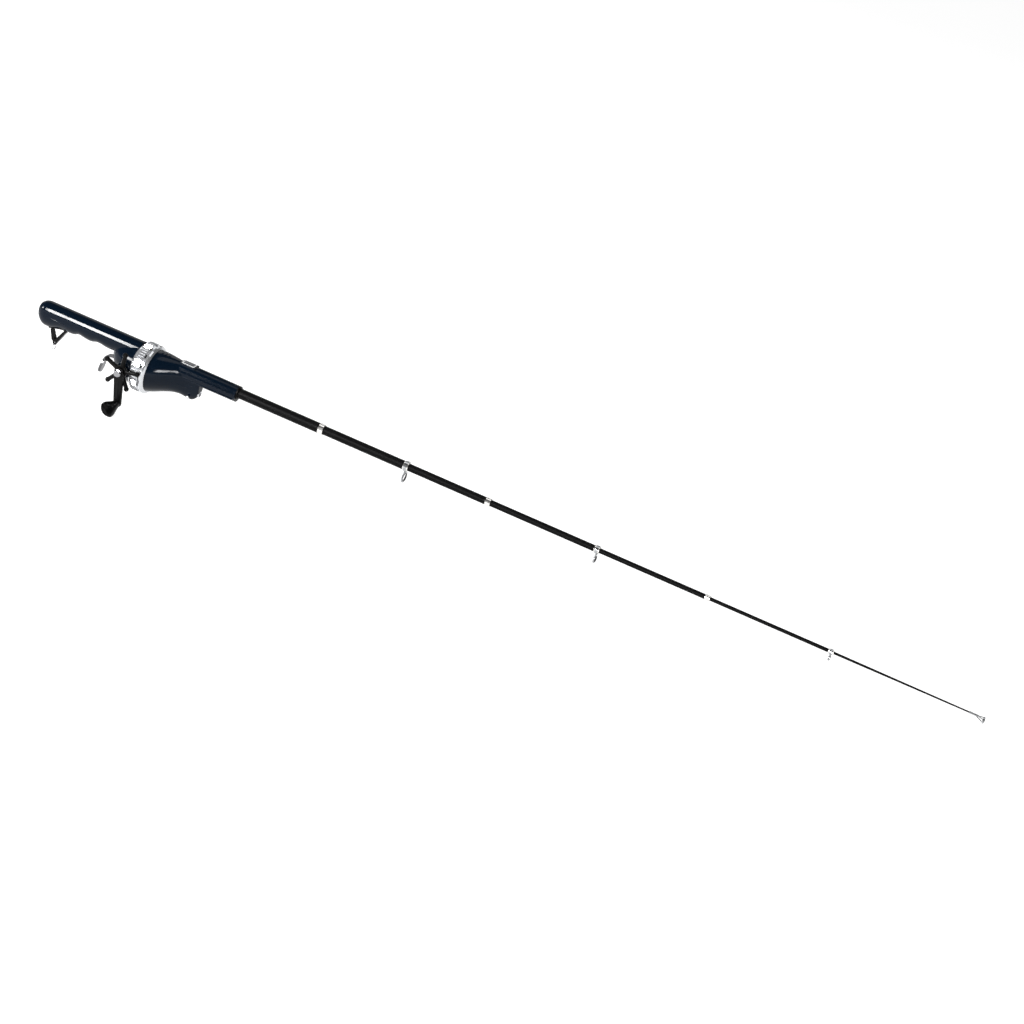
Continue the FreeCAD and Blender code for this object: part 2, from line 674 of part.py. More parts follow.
def make_handle():
    """Both halves of the handle and the screws that close them."""
    outer = grip_solid(0, CAP_X, BODY_FRONT_X)
    outer = outer.fuse(gear_body_solid(0, GEAR_BODY_FORM[0][0], BODY_FRONT_X))
    spigot = tube_x(SPIGOT_R, SPIGOT_R - SPIGOT_WALL, BODY_FRONT_X - OVERSHOOT, SPIGOT_END_X, REEL_Z)
    boss = cyl_y(BOSS_R, BOSS_Y, BOSS_INNER_Y, CRANK_X, REEL_Z)
    boss = softened(boss, BOSS_ROUND, lambda edge: at_y(edge, BOSS_Y))
    boss_room = tube_y(BOSS_R - BOSS_WALL, BOSS_CORE_R, BOSS_Y + 2 * BOSS_WALL, 0, CRANK_X, REEL_Z)
    hollow = handle_hollow()
    side = TRIGGER_HALF + TRIGGER_SIDE_GAP
    bosses = [cyl_y(SCREW_BOSS_R, -LARGE, LARGE, x, z) for x, z in SHELL_SCREWS]
    bosses.append(cyl_y(TRIGGER_BOSS_R, -LARGE, -side, TRIGGER_X, TRIGGER_Z))
    bosses.append(cyl_y(TRIGGER_BOSS_R, side, LARGE, TRIGGER_X, TRIGGER_Z))
    shelf_x = (SLIDER_X[0] + SHELF_IN[0], SLIDER_X[1] - SHELF_IN[1])
    shelf_z = SLIDER_Z[0] - SLIDE_GAP
    shelf = block(*shelf_x, SLIDER_Y[0] + SHELF_LAP, LARGE, shelf_z - SHELF_THICK, shelf_z)
    rail = block(*shelf_x, SLIDER_Y[1] + SLIDE_GAP, LARGE, shelf_z - SHELF_LAP, SLIDER_Z[1])
    standing = Part.makeCompound(bosses + [shelf, rail]).common(hollow)
    front_room = cyl_x(SPIGOT_R - SPIGOT_WALL, BODY_FRONT_X - SHELL_WALL - OVERSHOOT,
                       SPIGOT_END_X + OVERSHOOT, 0, REEL_Z)
    shell = outer.cut(hollow).fuse([spigot, boss]).cut(front_room.cut(boss)).fuse(standing.Solids)
    shaft_room = cyl_y(CRANK_BUSH_R, BOSS_Y - OVERSHOOT, 0, CRANK_X, REEL_Z)
    gear_room = cyl_y(CROWN_R + GEAR_FACE, -CROWN_BACK - 2 * GEAR_CLEAR, OVERSHOOT, CRANK_X, REEL_Z)
    spring_room = tube_y(SPRING_R + SPRING_WIRE_R + GEAR_CLEAR, TRIGGER_BOSS_R, side, SPRING_END_Y,
                         TRIGGER_X, TRIGGER_Z)
    pin_room = cyl_y(TRIGGER_PIN_R, -TRIGGER_PIN_HALF, TRIGGER_PIN_HALF, TRIGGER_X, TRIGGER_Z)
    rooms = [tube_space(), boss_room, shaft_room, gear_room, spring_room, trigger_slot(), pin_room]
    shell = shell.cut(rooms)
    screws = []
    for x, z in SHELL_SCREWS:
        seat = screw_seat_y(x, z, outer)
        shell = shell.cut([cyl_y(SCREW_R, -SCREW_BITE, LARGE, x, z),
                           cyl_y(SCREW_HEAD_R + SCREW_HEAD_PLAY, seat, LARGE, x, z)])
        screws.append(make_screw(x, z, seat))
    save("handle_shell_left", shell.common(block(-LARGE, LARGE, -LARGE, 0, -LARGE, LARGE)))
    save("handle_shell_right", shell.common(block(-LARGE, LARGE, 0, LARGE, -LARGE, LARGE)))
    save("handle_screws", Part.makeCompound(screws))


def cross_recess(x, y, z):
    """Cross-shaped drive in a screw's head."""
    wide, narrow = SCREW_HEAD_R * DRIVE_CROSS[0], SCREW_HEAD_R * DRIVE_CROSS[1]
    across = block(x - wide, x + wide, y - DRIVE_DEEP, y + OVERSHOOT, z - narrow, z + narrow)
    return across.fuse(block(x - narrow, x + narrow, y - DRIVE_DEEP, y + OVERSHOOT, z - wide, z + wide))


def make_end_cap():
    """Domed cap that closes the butt, with a plug inside the handle."""
    dome = lofted([section(x, 0, half, above, below) for x, half, above, below in CAP_FORM])
    plug = grip_solid(SHELL_WALL + SEAT_GAP, CAP_X, CAP_X + CAP_PLUG)
    core = grip_solid(SHELL_WALL + CAP_PLUG_WALL, CAP_X, CAP_X + CAP_PLUG)
    return dome.fuse(plug.cut(core)).cut(cyl_x(TUBE_R + SEAT_GAP, TUBE_X0 - SEAT_GAP, LARGE))


def make_storage_tube():
    """Thin tube that the blanks slide back into."""
    return tube_x(TUBE_R, TUBE_BORE_R, TUBE_X0, NOSE_X - NOSE_COLLAR_LENGTH)


# ---------------------------------------------------------------- reel covers
def make_cover_ring():
    """Bright ring between the handle and the front housing: ribbed band, windows and front rim."""
    outline = [(x, radius) for x, radius in RING_FORM]
    outline.append((RING_FRONT_X, RING_BORE_R))
    outline.append((RING_CHAMBER_X[1], RING_BORE_R))
    outline.append((RING_CHAMBER_X[1] - RING_WALL_STEP, RING_CHAMBER_R))
    outline.append((RING_CHAMBER_X[0] + RING_WALL_STEP, RING_CHAMBER_R))
    outline.append((RING_CHAMBER_X[0], RING_BORE_R))
    outline.append((RING_REAR_X, RING_BORE_R))
    ring = revolved(outline, REEL_Z)
    ribs = []
    for step in range(2 * KNURL_COUNT):
        angle = math.pi * step / KNURL_COUNT
        for share in (-KNURL_SHARE, KNURL_SHARE):
            turn = angle + share * math.pi / KNURL_COUNT
            radius = KNURL_R if step % 2 else KNURL_R - KNURL_DEPTH
            ribs.append(V(KNURL_X[0], radius * math.cos(turn), REEL_Z + radius * math.sin(turn)))
    band = Part.Face(Part.makePolygon(ribs + ribs[:1])).extrude(V(KNURL_X[1] - KNURL_X[0], 0, 0))
    keep = tube_x(LARGE, RING_CHAMBER_R, KNURL_X[0], KNURL_X[1], REEL_Z)
    inside = cyl_x(RING_CHAMBER_R, KNURL_X[0] - OVERSHOOT, KNURL_X[1] + OVERSHOOT, 0, REEL_Z)
    ring = ring.cut(keep).fuse(band.cut(inside))
    windows = []
    for step in range(WINDOW_COUNT):
        angle = 360 * (step + 0.5) / WINDOW_COUNT
        half = WINDOW_STRETCH / 2
        hole = fused([
            Part.makeCylinder(WINDOW_R, LARGE / 4, V(WINDOW_X, -half, 0), Z_AXIS),
            Part.makeCylinder(WINDOW_R, LARGE / 4, V(WINDOW_X, half, 0), Z_AXIS),
            block(WINDOW_X - WINDOW_R, WINDOW_X + WINDOW_R, -half, half, 0, LARGE / 4),
        ])
        hole.translate(V(0, 0, REEL_Z))
        hole.rotate(V(0, 0, REEL_Z), X_AXIS, angle)
        windows.append(hole)
    notch = cyl_y(BOSS_R + SLIDE_GAP, -LARGE, 0, CRANK_X, REEL_Z)
    return ring.removeSplitter().cut(windows + [notch, tube_space()])


def housing_solid(inset, x0, x1):
    """The front housing's cone and snout, or its hollow when inset by the wall."""
    rows = []
    for x, half, top, bottom in eased(HOUSING_FORM):
        middle, high = (top + bottom) / 2, (top - bottom) / 2
        rows.append(section(x, middle, half - inset, high - inset, high - inset))
    return lofted(rows).common(block(x0, x1, -LARGE, LARGE, -LARGE, LARGE))


def make_front_housing():
    """Moulded housing: cone over the spool, snout for the line and sleeve round the rod."""
    cone = housing_solid(0, RING_FRONT_X, HOUSING_FORM[-1][0])
    sleeve = Part.makeCone(SLEEVE_R, SLEEVE_TIP_R, NOSE_X - SLEEVE_X0, V(SLEEVE_X0, 0, SLEEVE_Z), X_AXIS)
    ribs = []
    for side in (-1, 1):
        for height in SLEEVE_RIB_Z:
            reach = math.sqrt(SLEEVE_R ** 2 - (height - SLEEVE_Z) ** 2) - SLEEVE_RIB_SINK
            rib = cyl_x(SLEEVE_RIB_R, *SLEEVE_RIB_X, side * reach, height)
            ribs.append(rib.fuse(Part.makeSphere(SLEEVE_RIB_R, V(SLEEVE_RIB_X[1], side * reach, height))))
    saddle_x, saddle_y = PLATE_LENGTH / 2 + SADDLE_EDGE[0], PLATE_WIDTH / 2 + SADDLE_EDGE[1]
    saddle = block(PLATE_X - saddle_x, PLATE_X + saddle_x, -saddle_y, saddle_y, 0, PLATE_TOP)
    saddle = softened(saddle, SADDLE_ROUND, lambda edge: edge.BoundBox.ZMin > PLATE_TOP - 0.01)
    top_ribs = []
    for x in TOP_RIBS_X:
        hoop = tube_x(SLEEVE_R + TOP_RIB_RISE, SLEEVE_R - HOUSING_WALL, x, x + TOP_RIB_THICK, SLEEVE_Z)
        top_ribs.append(hoop.common(block(-LARGE, LARGE, -TOP_RIB_HALF, TOP_RIB_HALF, 0, LARGE)))
    shape = cone.fuse([sleeve, saddle] + ribs + top_ribs)
    spigot = tube_x(SPIGOT_R, SPIGOT_R - SPIGOT_WALL, BULKHEAD_END_X, RING_FRONT_X + OVERSHOOT, REEL_Z)
    hollow = housing_solid(HOUSING_WALL, RING_FRONT_X + HOUSING_WALL, CAVITY_END_X)
    front_room = cyl_x(SPIGOT_R - SPIGOT_WALL, BULKHEAD_END_X, RING_FRONT_X + HOUSING_WALL, 0, REEL_Z)
    passage = cyl_x(OUTLET_PASSAGE_R, CAVITY_END_X - OVERSHOOT, LARGE, 0, OUTLET_Z)
    eyelet_seat = cyl_x(EYELET_R - EYELET_FLANGE + SEAT_GAP, eyelet_x() - EYELET_LENGTH, LARGE, 0, OUTLET_Z)
    eyelet_face = cyl_x(EYELET_R + SEAT_GAP, eyelet_x() - EYELET_FLANGE, LARGE, 0, OUTLET_Z)
    pin = cyl_y(SNOUT_PIN_R + SEAT_GAP, -LARGE, LARGE, SNOUT_PIN_X, SNOUT_PIN_Z)
    collar = cyl_x(NOSE_COLLAR_R + SEAT_GAP, NOSE_X - NOSE_COLLAR_LENGTH, LARGE)
    return shape.fuse(spigot).cut([hollow, front_room, tube_space(), passage, eyelet_seat, eyelet_face,
                                   pin, collar, plate_solid(SEAT_GAP)])


def eyelet_x():
    """Front of the line eyelet, a little proud of the snout."""
    return HOUSING_FORM[-1][0] + EYELET_PROUD


def plate_solid(grow):
    """Blank name plate let into the top of the housing, or its seat."""
    half_x, half_y = PLATE_LENGTH / 2 + grow, PLATE_WIDTH / 2 + grow
    plate = block(PLATE_X - half_x, PLATE_X + half_x, -half_y, half_y,
                  PLATE_TOP - PLATE_THICK / 2, PLATE_TOP + PLATE_THICK / 2)
    return softened(plate, PLATE_ROUND, lambda edge: edge.BoundBox.ZLength > PLATE_THICK * 0.9)


def make_eyelet():
    """Polished eyelet that the line leaves through."""
    front, rear = eyelet_x(), eyelet_x() - EYELET_LENGTH
    body_r = EYELET_R - EYELET_FLANGE
    outline = [
        (rear, OUTLET_R), (rear, body_r), (front - EYELET_FLANGE, body_r),
        (front - EYELET_FLANGE, EYELET_R), (front - EYELET_ROUND, EYELET_R),
        (front, EYELET_R - EYELET_ROUND), (front, OUTLET_R + EYELET_ROUND),
        (front - EYELET_ROUND, OUTLET_R),
    ]
    return revolved(outline, OUTLET_Z)


def make_snout_pin():
    """Bright rivet across the snout."""
    top = SNOUT_PIN_HALF + SNOUT_PIN_HEAD
    parts = [cyl_y(SNOUT_PIN_R, -SNOUT_PIN_HALF, SNOUT_PIN_HALF, SNOUT_PIN_X, SNOUT_PIN_Z)]
    for y0, y1, end in ((-top, -SNOUT_PIN_HALF, -top), (SNOUT_PIN_HALF, top, top)):
        head = cyl_y(SNOUT_PIN_HEAD_R, y0, y1, SNOUT_PIN_X, SNOUT_PIN_Z)
        parts.append(softened(head, SNOUT_PIN_ROUND, lambda edge: at_y(edge, end)))
    return fused(parts)


def make_nose_collar():
    """Black collar that guides the first blank out of the housing."""
    bore = BLANK_R[0] + SLIDE_GAP
    rear, front = NOSE_X - NOSE_COLLAR_LENGTH, NOSE_X + NOSE_FLANGE
    outline = [
        (rear, bore), (rear, NOSE_COLLAR_R), (front - NOSE_BEVEL, NOSE_COLLAR_R),
        (front, NOSE_COLLAR_R - NOSE_BEVEL), (front, bore),
    ]
    return revolved(outline, 0)


# ---------------------------------------------------------------- reel works
def half_tooth(height):
    """Half thickness of a gear tooth at a height above its pitch line."""
    return TOOTH_SHARE * PITCH / 2 - TOOTH_TAPER * height


def make_pinion():
    """Small spur gear on the main shaft, with a tooth pointing at the crown gear."""
    low, high = -DEDENDUM * MODULE, ADDENDUM * MODULE
    blank = cyl_x(PINION_R + low, PINION_X - GEAR_FACE / 2, PINION_X + GEAR_FACE / 2, 0, REEL_Z)
    teeth = [blank]
    x0 = PINION_X - GEAR_FACE / 2
    for step in range(PINION_TEETH):
        foot, tip = -(PINION_R + low - TOOTH_ROOT), -(PINION_R + high)
        points = [V(x0, foot, -half_tooth(low)), V(x0, tip, -half_tooth(high)),
                  V(x0, tip, half_tooth(high)), V(x0, foot, half_tooth(low))]
        tooth = Part.Face(Part.makePolygon(points + points[:1])).extrude(V(GEAR_FACE, 0, 0))
        tooth.translate(V(0, 0, REEL_Z))
        tooth.rotate(V(0, 0, REEL_Z), X_AXIS, 360 * step / PINION_TEETH)
        teeth.append(tooth)
    hub = cyl_x(PINION_R + low, PINION_X + GEAR_FACE / 2, SPIGOT_END_X - GEAR_CLEAR, 0, REEL_Z)
    return fused(teeth + [hub]).cut(cyl_x(MAIN_SHAFT_R, -LARGE, LARGE, 0, REEL_Z))


def make_crown_gear():
    """Face gear on the crank shaft, with a gap between teeth where the pinion's tooth stands."""
    low, high = -DEDENDUM * MODULE, ADDENDUM * MODULE
    face_y = -PINION_R + low
    foot, tip = face_y - TOOTH_ROOT, -CROWN_TIP_Y
    disc = cyl_y(CROWN_RIM_R, -CROWN_BACK, face_y, CRANK_X, REEL_Z)
    hub = cyl_y(CRANK_BUSH_R - GEAR_CLEAR, -CROWN_BACK - CROWN_HUB, -CROWN_BACK, CRANK_X, REEL_Z)
    teeth = [disc, hub]
    r0 = CROWN_R - GEAR_FACE / 2 - GEAR_CLEAR
    for step in range(CROWN_TEETH):
        points = [V(r0, foot, -half_tooth(low)), V(r0, tip, -half_tooth(high)),
                  V(r0, tip, half_tooth(high)), V(r0, foot, half_tooth(low))]
        tooth = Part.Face(Part.makePolygon(points + points[:1])).extrude(V(CROWN_RIM_R - r0, 0, 0))
        tooth.translate(V(CRANK_X, 0, REEL_Z))
        tooth.rotate(V(CRANK_X, 0, REEL_Z), Y_AXIS, 360 * (step + 0.5) / CROWN_TEETH)
        teeth.append(tooth)
    return fused(teeth).cut(cyl_y(CRANK_SHAFT_R, -LARGE, LARGE, CRANK_X, REEL_Z))


def make_bulkhead():
    """Plate that carries the main shaft, with the hub that the spool sits on."""
    plate = cyl_x(SPIGOT_R, SPIGOT_END_X, BULKHEAD_END_X, 0, REEL_Z)
    hub = cyl_x(HUB_R, BULKHEAD_END_X, BULKHEAD_END_X + HUB_LENGTH, 0, REEL_Z)
    vents = []
    for angle in VENT_ANGLES:
        vent = cyl_x(VENT_R, -LARGE, LARGE, 0, REEL_Z + VENT_CIRCLE_R)
        vent.rotate(V(0, 0, REEL_Z), X_AXIS, angle)
        vents.append(vent)
    bush_seat = cyl_x(MAIN_BUSH_R + SEAT_GAP, -LARGE, LARGE, 0, REEL_Z)
    return fused([plate, hub]).cut([bush_seat, tube_space()] + vents)


def make_main_bushes():
    """Two bushes that the main shaft runs in."""
    x0, x1 = SPIGOT_END_X, BULKHEAD_END_X + HUB_LENGTH
    return Part.makeCompound([
        tube_x(MAIN_BUSH_R, MAIN_SHAFT_R + SLIDE_GAP, x0, x0 + MAIN_BUSH_LENGTH, REEL_Z),
        tube_x(MAIN_BUSH_R, MAIN_SHAFT_R + SLIDE_GAP, x1 - MAIN_BUSH_LENGTH, x1, REEL_Z),
    ])


def spool_x():
    """Rear and front of the spool on its hub."""
    rear = BULKHEAD_END_X + SPOOL_BEHIND
    return rear, rear + SPOOL_LENGTH


def make_spool():
    """Line spool between two flanges."""
    rear, front = spool_x()
    outline = [
        (rear, HUB_R + SEAT_GAP), (rear, SPOOL_R), (rear + SPOOL_FLANGE, SPOOL_R),
        (rear + SPOOL_FLANGE + SPOOL_FILLET, SPOOL_CORE_R),
        (front - SPOOL_FLANGE - SPOOL_FILLET, SPOOL_CORE_R),
        (front - SPOOL_FLANGE, SPOOL_R), (front, SPOOL_R), (front, HUB_R + SEAT_GAP),
    ]
    return revolved(outline, REEL_Z)


def rotor_x():
    """Rear face of the rotor's web, clear of the hub's end."""
    return BULKHEAD_END_X + HUB_LENGTH + ROTOR_GAP


def make_rotor():
    """Cup that turns round the front of the spool and lays the line on it."""
    web = rotor_x()
    skirt = web - ROTOR_SKIRT
    inner, outer = SPOOL_R + ROTOR_GAP, SPOOL_R + ROTOR_GAP + ROTOR_WALL
    outline = [(web, MAIN_SHAFT_R), (web, inner), (skirt, inner), (skirt, outer), (web + ROTOR_BRIM, outer)]
    outline += [(web + ROTOR_DOME * along, outer * share) for along, share in ROTOR_NOSE]
    outline.append((web + ROTOR_DOME, MAIN_SHAFT_R))
    return revolved(outline, REEL_Z).cut(pickup_pin())


def pickup_pin():
    """Small hard pin in the rotor's skirt that picks the line up."""
    inner = SPOOL_R + ROTOR_GAP
    foot = V(rotor_x() - ROTOR_SKIRT / 2, 0, REEL_Z - inner)
    return Part.makeCylinder(PICKUP_R, ROTOR_WALL + PICKUP_REACH, foot, V(0, 0, -1))


def make_main_shaft():
    """Shaft that carries the pinion behind the bulkhead and the rotor in front of it."""
    rear, front = PINION_X - GEAR_FACE / 2, rotor_x() + ROTOR_DOME + ROTOR_NUT_LENGTH
    return cyl_x(MAIN_SHAFT_R, rear - OVERSHOOT, front + OVERSHOOT, 0, REEL_Z)


def make_rotor_nut():
    """Six-sided nut that holds the rotor on the main shaft."""
    front = rotor_x() + ROTOR_DOME
    corners = []
    for step in range(6):
        angle = math.radians(60 * step)
        corners.append(V(front, ROTOR_NUT_R * math.sin(angle), REEL_Z + ROTOR_NUT_R * math.cos(angle)))
    nut = Part.Face(Part.makePolygon(corners + corners[:1])).extrude(V(ROTOR_NUT_LENGTH, 0, 0))
    return nut.cut(cyl_x(MAIN_SHAFT_R, -LARGE, LARGE, 0, REEL_Z))


# ---------------------------------------------------------------- crank
def make_crank_shaft():
    """Shaft from the crown gear out through the boss to the crank's nut."""
    end = ARM_Y0 - CRANK_NUT_LENGTH + CRANK_NUT_ROUND
    return cyl_y(CRANK_SHAFT_R, end, -PINION_R + DEDENDUM * MODULE, CRANK_X, REEL_Z)


def make_crank_bushes():
    """Two bushes in the boss that the crank shaft runs in."""
    inner = -CROWN_BACK - CROWN_HUB - CROWN_BUSH_GAP
    bore_r = CRANK_SHAFT_R + SLIDE_GAP
    return Part.makeCompound([tube_y(CRANK_BUSH_R, bore_r, y, y + CRANK_BUSH_LENGTH, CRANK_X, REEL_Z)
                              for y in (inner - CRANK_BUSH_LENGTH, BOSS_Y)])


def make_drag_washers():
    """Washers that the star wheel presses together."""
    washers = []
    first = BOSS_Y - WASHER_GAP
    step = (first - STAR_BACK_Y) / WASHER_COUNT
    for index in range(WASHER_COUNT):
        y1 = first - index * step
        radius = WASHER_R - WASHER_STEP * (index % 2)
        washers.append(tube_y(radius, CRANK_SHAFT_R, y1 - WASHER_THICK, y1, CRANK_X, REEL_Z))
    return Part.makeCompound(washers)


def make_star():
    """Five-armed wheel that sets the drag."""
    middle = STAR_Y + STAR_THICK / 2
    hub = softened(cyl_y(STAR_HUB_R, STAR_Y, STAR_BACK_Y, CRANK_X, REEL_Z), STAR_HUB_ROUND,
                   lambda edge: edge.Length > STAR_HUB_R)
    parts = [hub]
    for step in range(STAR_ARMS):
        angle = math.radians(STAR_TURN + 360 * step / STAR_ARMS)
        tip = V(CRANK_X + (STAR_REACH - STAR_TIP_R) * math.cos(angle), middle,
                REEL_Z + (STAR_REACH - STAR_TIP_R) * math.sin(angle))
        parts.append(rod_between(V(CRANK_X, middle, REEL_Z), tip, STAR_ARM_R))
        parts.append(Part.makeSphere(STAR_TIP_R, tip))
    star = fused(parts).common(block(-LARGE, LARGE, STAR_Y, STAR_BACK_Y + STAR_BULGE, -LARGE, LARGE))
    return star.cut(cyl_y(CRANK_SHAFT_R + SLIDE_GAP, -LARGE, LARGE, CRANK_X, REEL_Z))


def make_crank_arm():
    """Flat arm from the crank shaft to the knob."""
    arm = link((CRANK_X, REEL_Z), (KNOB_X, KNOB_Z), ARM_HUB_R, ARM_END_R, ARM_Y0, ARM_Y1)
    arm = softened(arm, ARM_ROUND, lambda edge: at_y(edge, ARM_Y0))
    return arm.cut([cyl_y(CRANK_SHAFT_R, -LARGE, LARGE, CRANK_X, REEL_Z),
                    cyl_y(AXLE_R, -LARGE, LARGE, KNOB_X, KNOB_Z)])


def make_crank_nut():
    """Round bright nut with two flats on the end of the crank shaft."""
    y0 = ARM_Y0 - CRANK_NUT_LENGTH
    flat_y1 = ARM_Y0 - CRANK_NUT_ROUND
    nut = cyl_y(CRANK_NUT_R, y0, ARM_Y0, CRANK_X, REEL_Z)
    nut = softened(nut, CRANK_NUT_ROUND, lambda edge: at_y(edge, y0))
    flats = [block(-LARGE, LARGE, y0, flat_y1, -LARGE, REEL_Z - CRANK_NUT_FLAT),
             block(-LARGE, LARGE, y0, flat_y1, REEL_Z + CRANK_NUT_FLAT, LARGE)]
    return nut.cut(flats + [cyl_y(CRANK_SHAFT_R, y0 + CRANK_NUT_ROUND, LARGE, CRANK_X, REEL_Z)])


def knob_ends():
    """Outer and inner end of the knob along Y."""
    inner = ARM_Y0 - KNOB_GAP
    return inner - KNOB_LENGTH, inner


def make_knob_axle():
    """Axle riveted into the arm, with a head that keeps the knob on."""
    head_y0 = knob_ends()[0] + AXLE_SINK
    head_y1 = head_y0 + AXLE_HEAD
    return fused([cyl_y(AXLE_R, head_y1, ARM_Y1, KNOB_X, KNOB_Z),
                  cyl_y(AXLE_HEAD_R, head_y0, head_y1, KNOB_X, KNOB_Z)])


def make_knob():
    """Paddle-shaped knob that turns on its axle."""
    outer, inner = knob_ends()
    rows = []
    for share, half_width, half_thick in eased(KNOB_FORM):
        points = []
        for step in range(SECTION_POINTS):
            angle = 2 * math.pi * step / SECTION_POINTS
            points.append(V(half_width * math.cos(angle), inner - share * KNOB_LENGTH,
                            half_thick * math.sin(angle)))
        rows.append(points)
    knob = lofted(rows)
    knob.rotate(V(0, 0, 0), Y_AXIS, -KNOB_TURN)
    knob.translate(V(KNOB_X, 0, KNOB_Z))
    return knob.cut([cyl_y(AXLE_R + SLIDE_GAP, -LARGE, LARGE, KNOB_X, KNOB_Z),
                     cyl_y(AXLE_HEAD_R + GEAR_CLEAR, outer - OVERSHOOT,
                           outer + AXLE_SINK + AXLE_HEAD + GEAR_CLEAR, KNOB_X, KNOB_Z)])


# ---------------------------------------------------------------- trigger
def make_trigger():
    """Finger lever: eye on its pin, curved arm out of the neck, paddle, and the slider's horn."""
    half = TRIGGER_HALF
    parts = [cyl_y(TRIGGER_EYE_R, -half, half, TRIGGER_X, TRIGGER_Z)]
    for (x0, z0, r0), (x1, z1, r1) in zip(TRIGGER_PATH, TRIGGER_PATH[1:]):
        parts.append(link((x0, z0), (x1, z1), r0, r1, -half, half))
    last_x, last_z, last_r = TRIGGER_PATH[-1]
    parts.append(link((last_x, last_z), PAD_TOP, last_r, last_r, -half, half))
    horn_end = (TRIGGER_X + TRIGGER_HORN_LEAN, TRIGGER_Z + TRIGGER_HORN)
    parts.append(link((TRIGGER_X, TRIGGER_Z), horn_end, *TRIGGER_HORN_R, -half, half))
    paddle = link(PAD_TOP, PAD_BOTTOM, PAD_R, PAD_R, -PAD_HALF, PAD_HALF)
    middle_z = (PAD_TOP[1] + PAD_BOTTOM[1]) / 2
    reach = (PAD_TOP[1] - PAD_BOTTOM[1]) / 2 + PAD_R
    oval = lofted([section(PAD_TOP[0] + step, middle_z, PAD_HALF, reach, reach) for step in PAD_OVAL_STEPS])
    parts.append(paddle.common(oval))
    return fused(parts).cut(cyl_y(TRIGGER_PIN_R + SLIDE_GAP, -LARGE, LARGE, TRIGGER_X, TRIGGER_Z))


def make_trigger_pin():
    """Pin across the neck that the trigger swings on."""
    return cyl_y(TRIGGER_PIN_R, -TRIGGER_PIN_HALF, TRIGGER_PIN_HALF, TRIGGER_X, TRIGGER_Z)


def make_trigger_spring():
    """Coil spring beside the trigger that pushes it back."""
    coil = Part.makeHelix(SPRING_PITCH, SPRING_PITCH * SPRING_TURNS, SPRING_R)
    curve = coil.Edges[0]
    start, heading = curve.valueAt(curve.FirstParameter), curve.tangentAt(curve.FirstParameter)
    wire = Part.Face(Part.Wire(Part.makeCircle(SPRING_WIRE_R, start, heading)))
    spring = Part.Wire(coil).makePipe(wire)
    spring.rotate(V(0, 0, 0), X_AXIS, -90)
    spring.translate(V(TRIGGER_X, SPRING_Y, TRIGGER_Z))
    return spring


def make_slider():
    """Bar that the trigger's horn pushes towards the rotor's shaft to free the line."""
    x0, x1 = SLIDER_X
    y0, y1 = SLIDER_Y
    z0, z1 = SLIDER_Z
    return fused([block(x0, x1, y0, y1, z0, z1), block(x1 - SLIDER_TOE, x1, y0, y1, SLIDER_TOE_Z, z1)])


# ---------------------------------------------------------------- wrist lanyard bracket
def make_lug_plate():
    """Bright plate under the butt that carries the bracket."""
    x0, x1 = LUG_PLATE_X
    under = grip_solid(0, x0, x1).fuse(grip_solid(-LUG_PLATE_THICK, x0, x1))
    skin = under.cut(grip_solid(0, x0 - OVERSHOOT, x1 + OVERSHOOT))
    return skin.common(block(x0, x1, -LUG_PLATE_HALF, LUG_PLATE_HALF, -LARGE, 0))


def make_lug():
    """Black V-shaped bracket with the eye for the lanyard ring."""
    bars = [
        link(LUG_EYE, LUG_REAR_TOP, LUG_EYE_R, LUG_BAR_R[0], -LUG_HALF, LUG_HALF),
        link(LUG_EYE, LUG_FRONT_TOP, LUG_EYE_R, LUG_BAR_R[1], -LUG_HALF, LUG_HALF),
    ]
    bracket = fused(bars)
    keep_out = grip_solid(-LUG_PLATE_THICK - SEAT_GAP, CAP_X, GRIP_FORM[-1][0])
    sides = [block(-LARGE, LARGE, LUG_TONGUE_HALF, LARGE, -LARGE, LUG_TONGUE_Z),
             block(-LARGE, LARGE, -LARGE, -LUG_TONGUE_HALF, -LARGE, LUG_TONGUE_Z)]
    return bracket.cut([keep_out, cyl_y(LUG_HOLE_R, -LARGE, LARGE, *LUG_EYE)] + sides)


def make_lanyard_ring():
    """Wire ring hanging in the bracket's eye."""
    x, z = LUG_EYE
    drop = LANYARD_RING_R + LUG_HOLE_R - LANYARD_WIRE_R - LANYARD_PLAY
    return Part.makeTorus(LANYARD_RING_R, LANYARD_WIRE_R, V(x, 0, z - drop), X_AXIS)


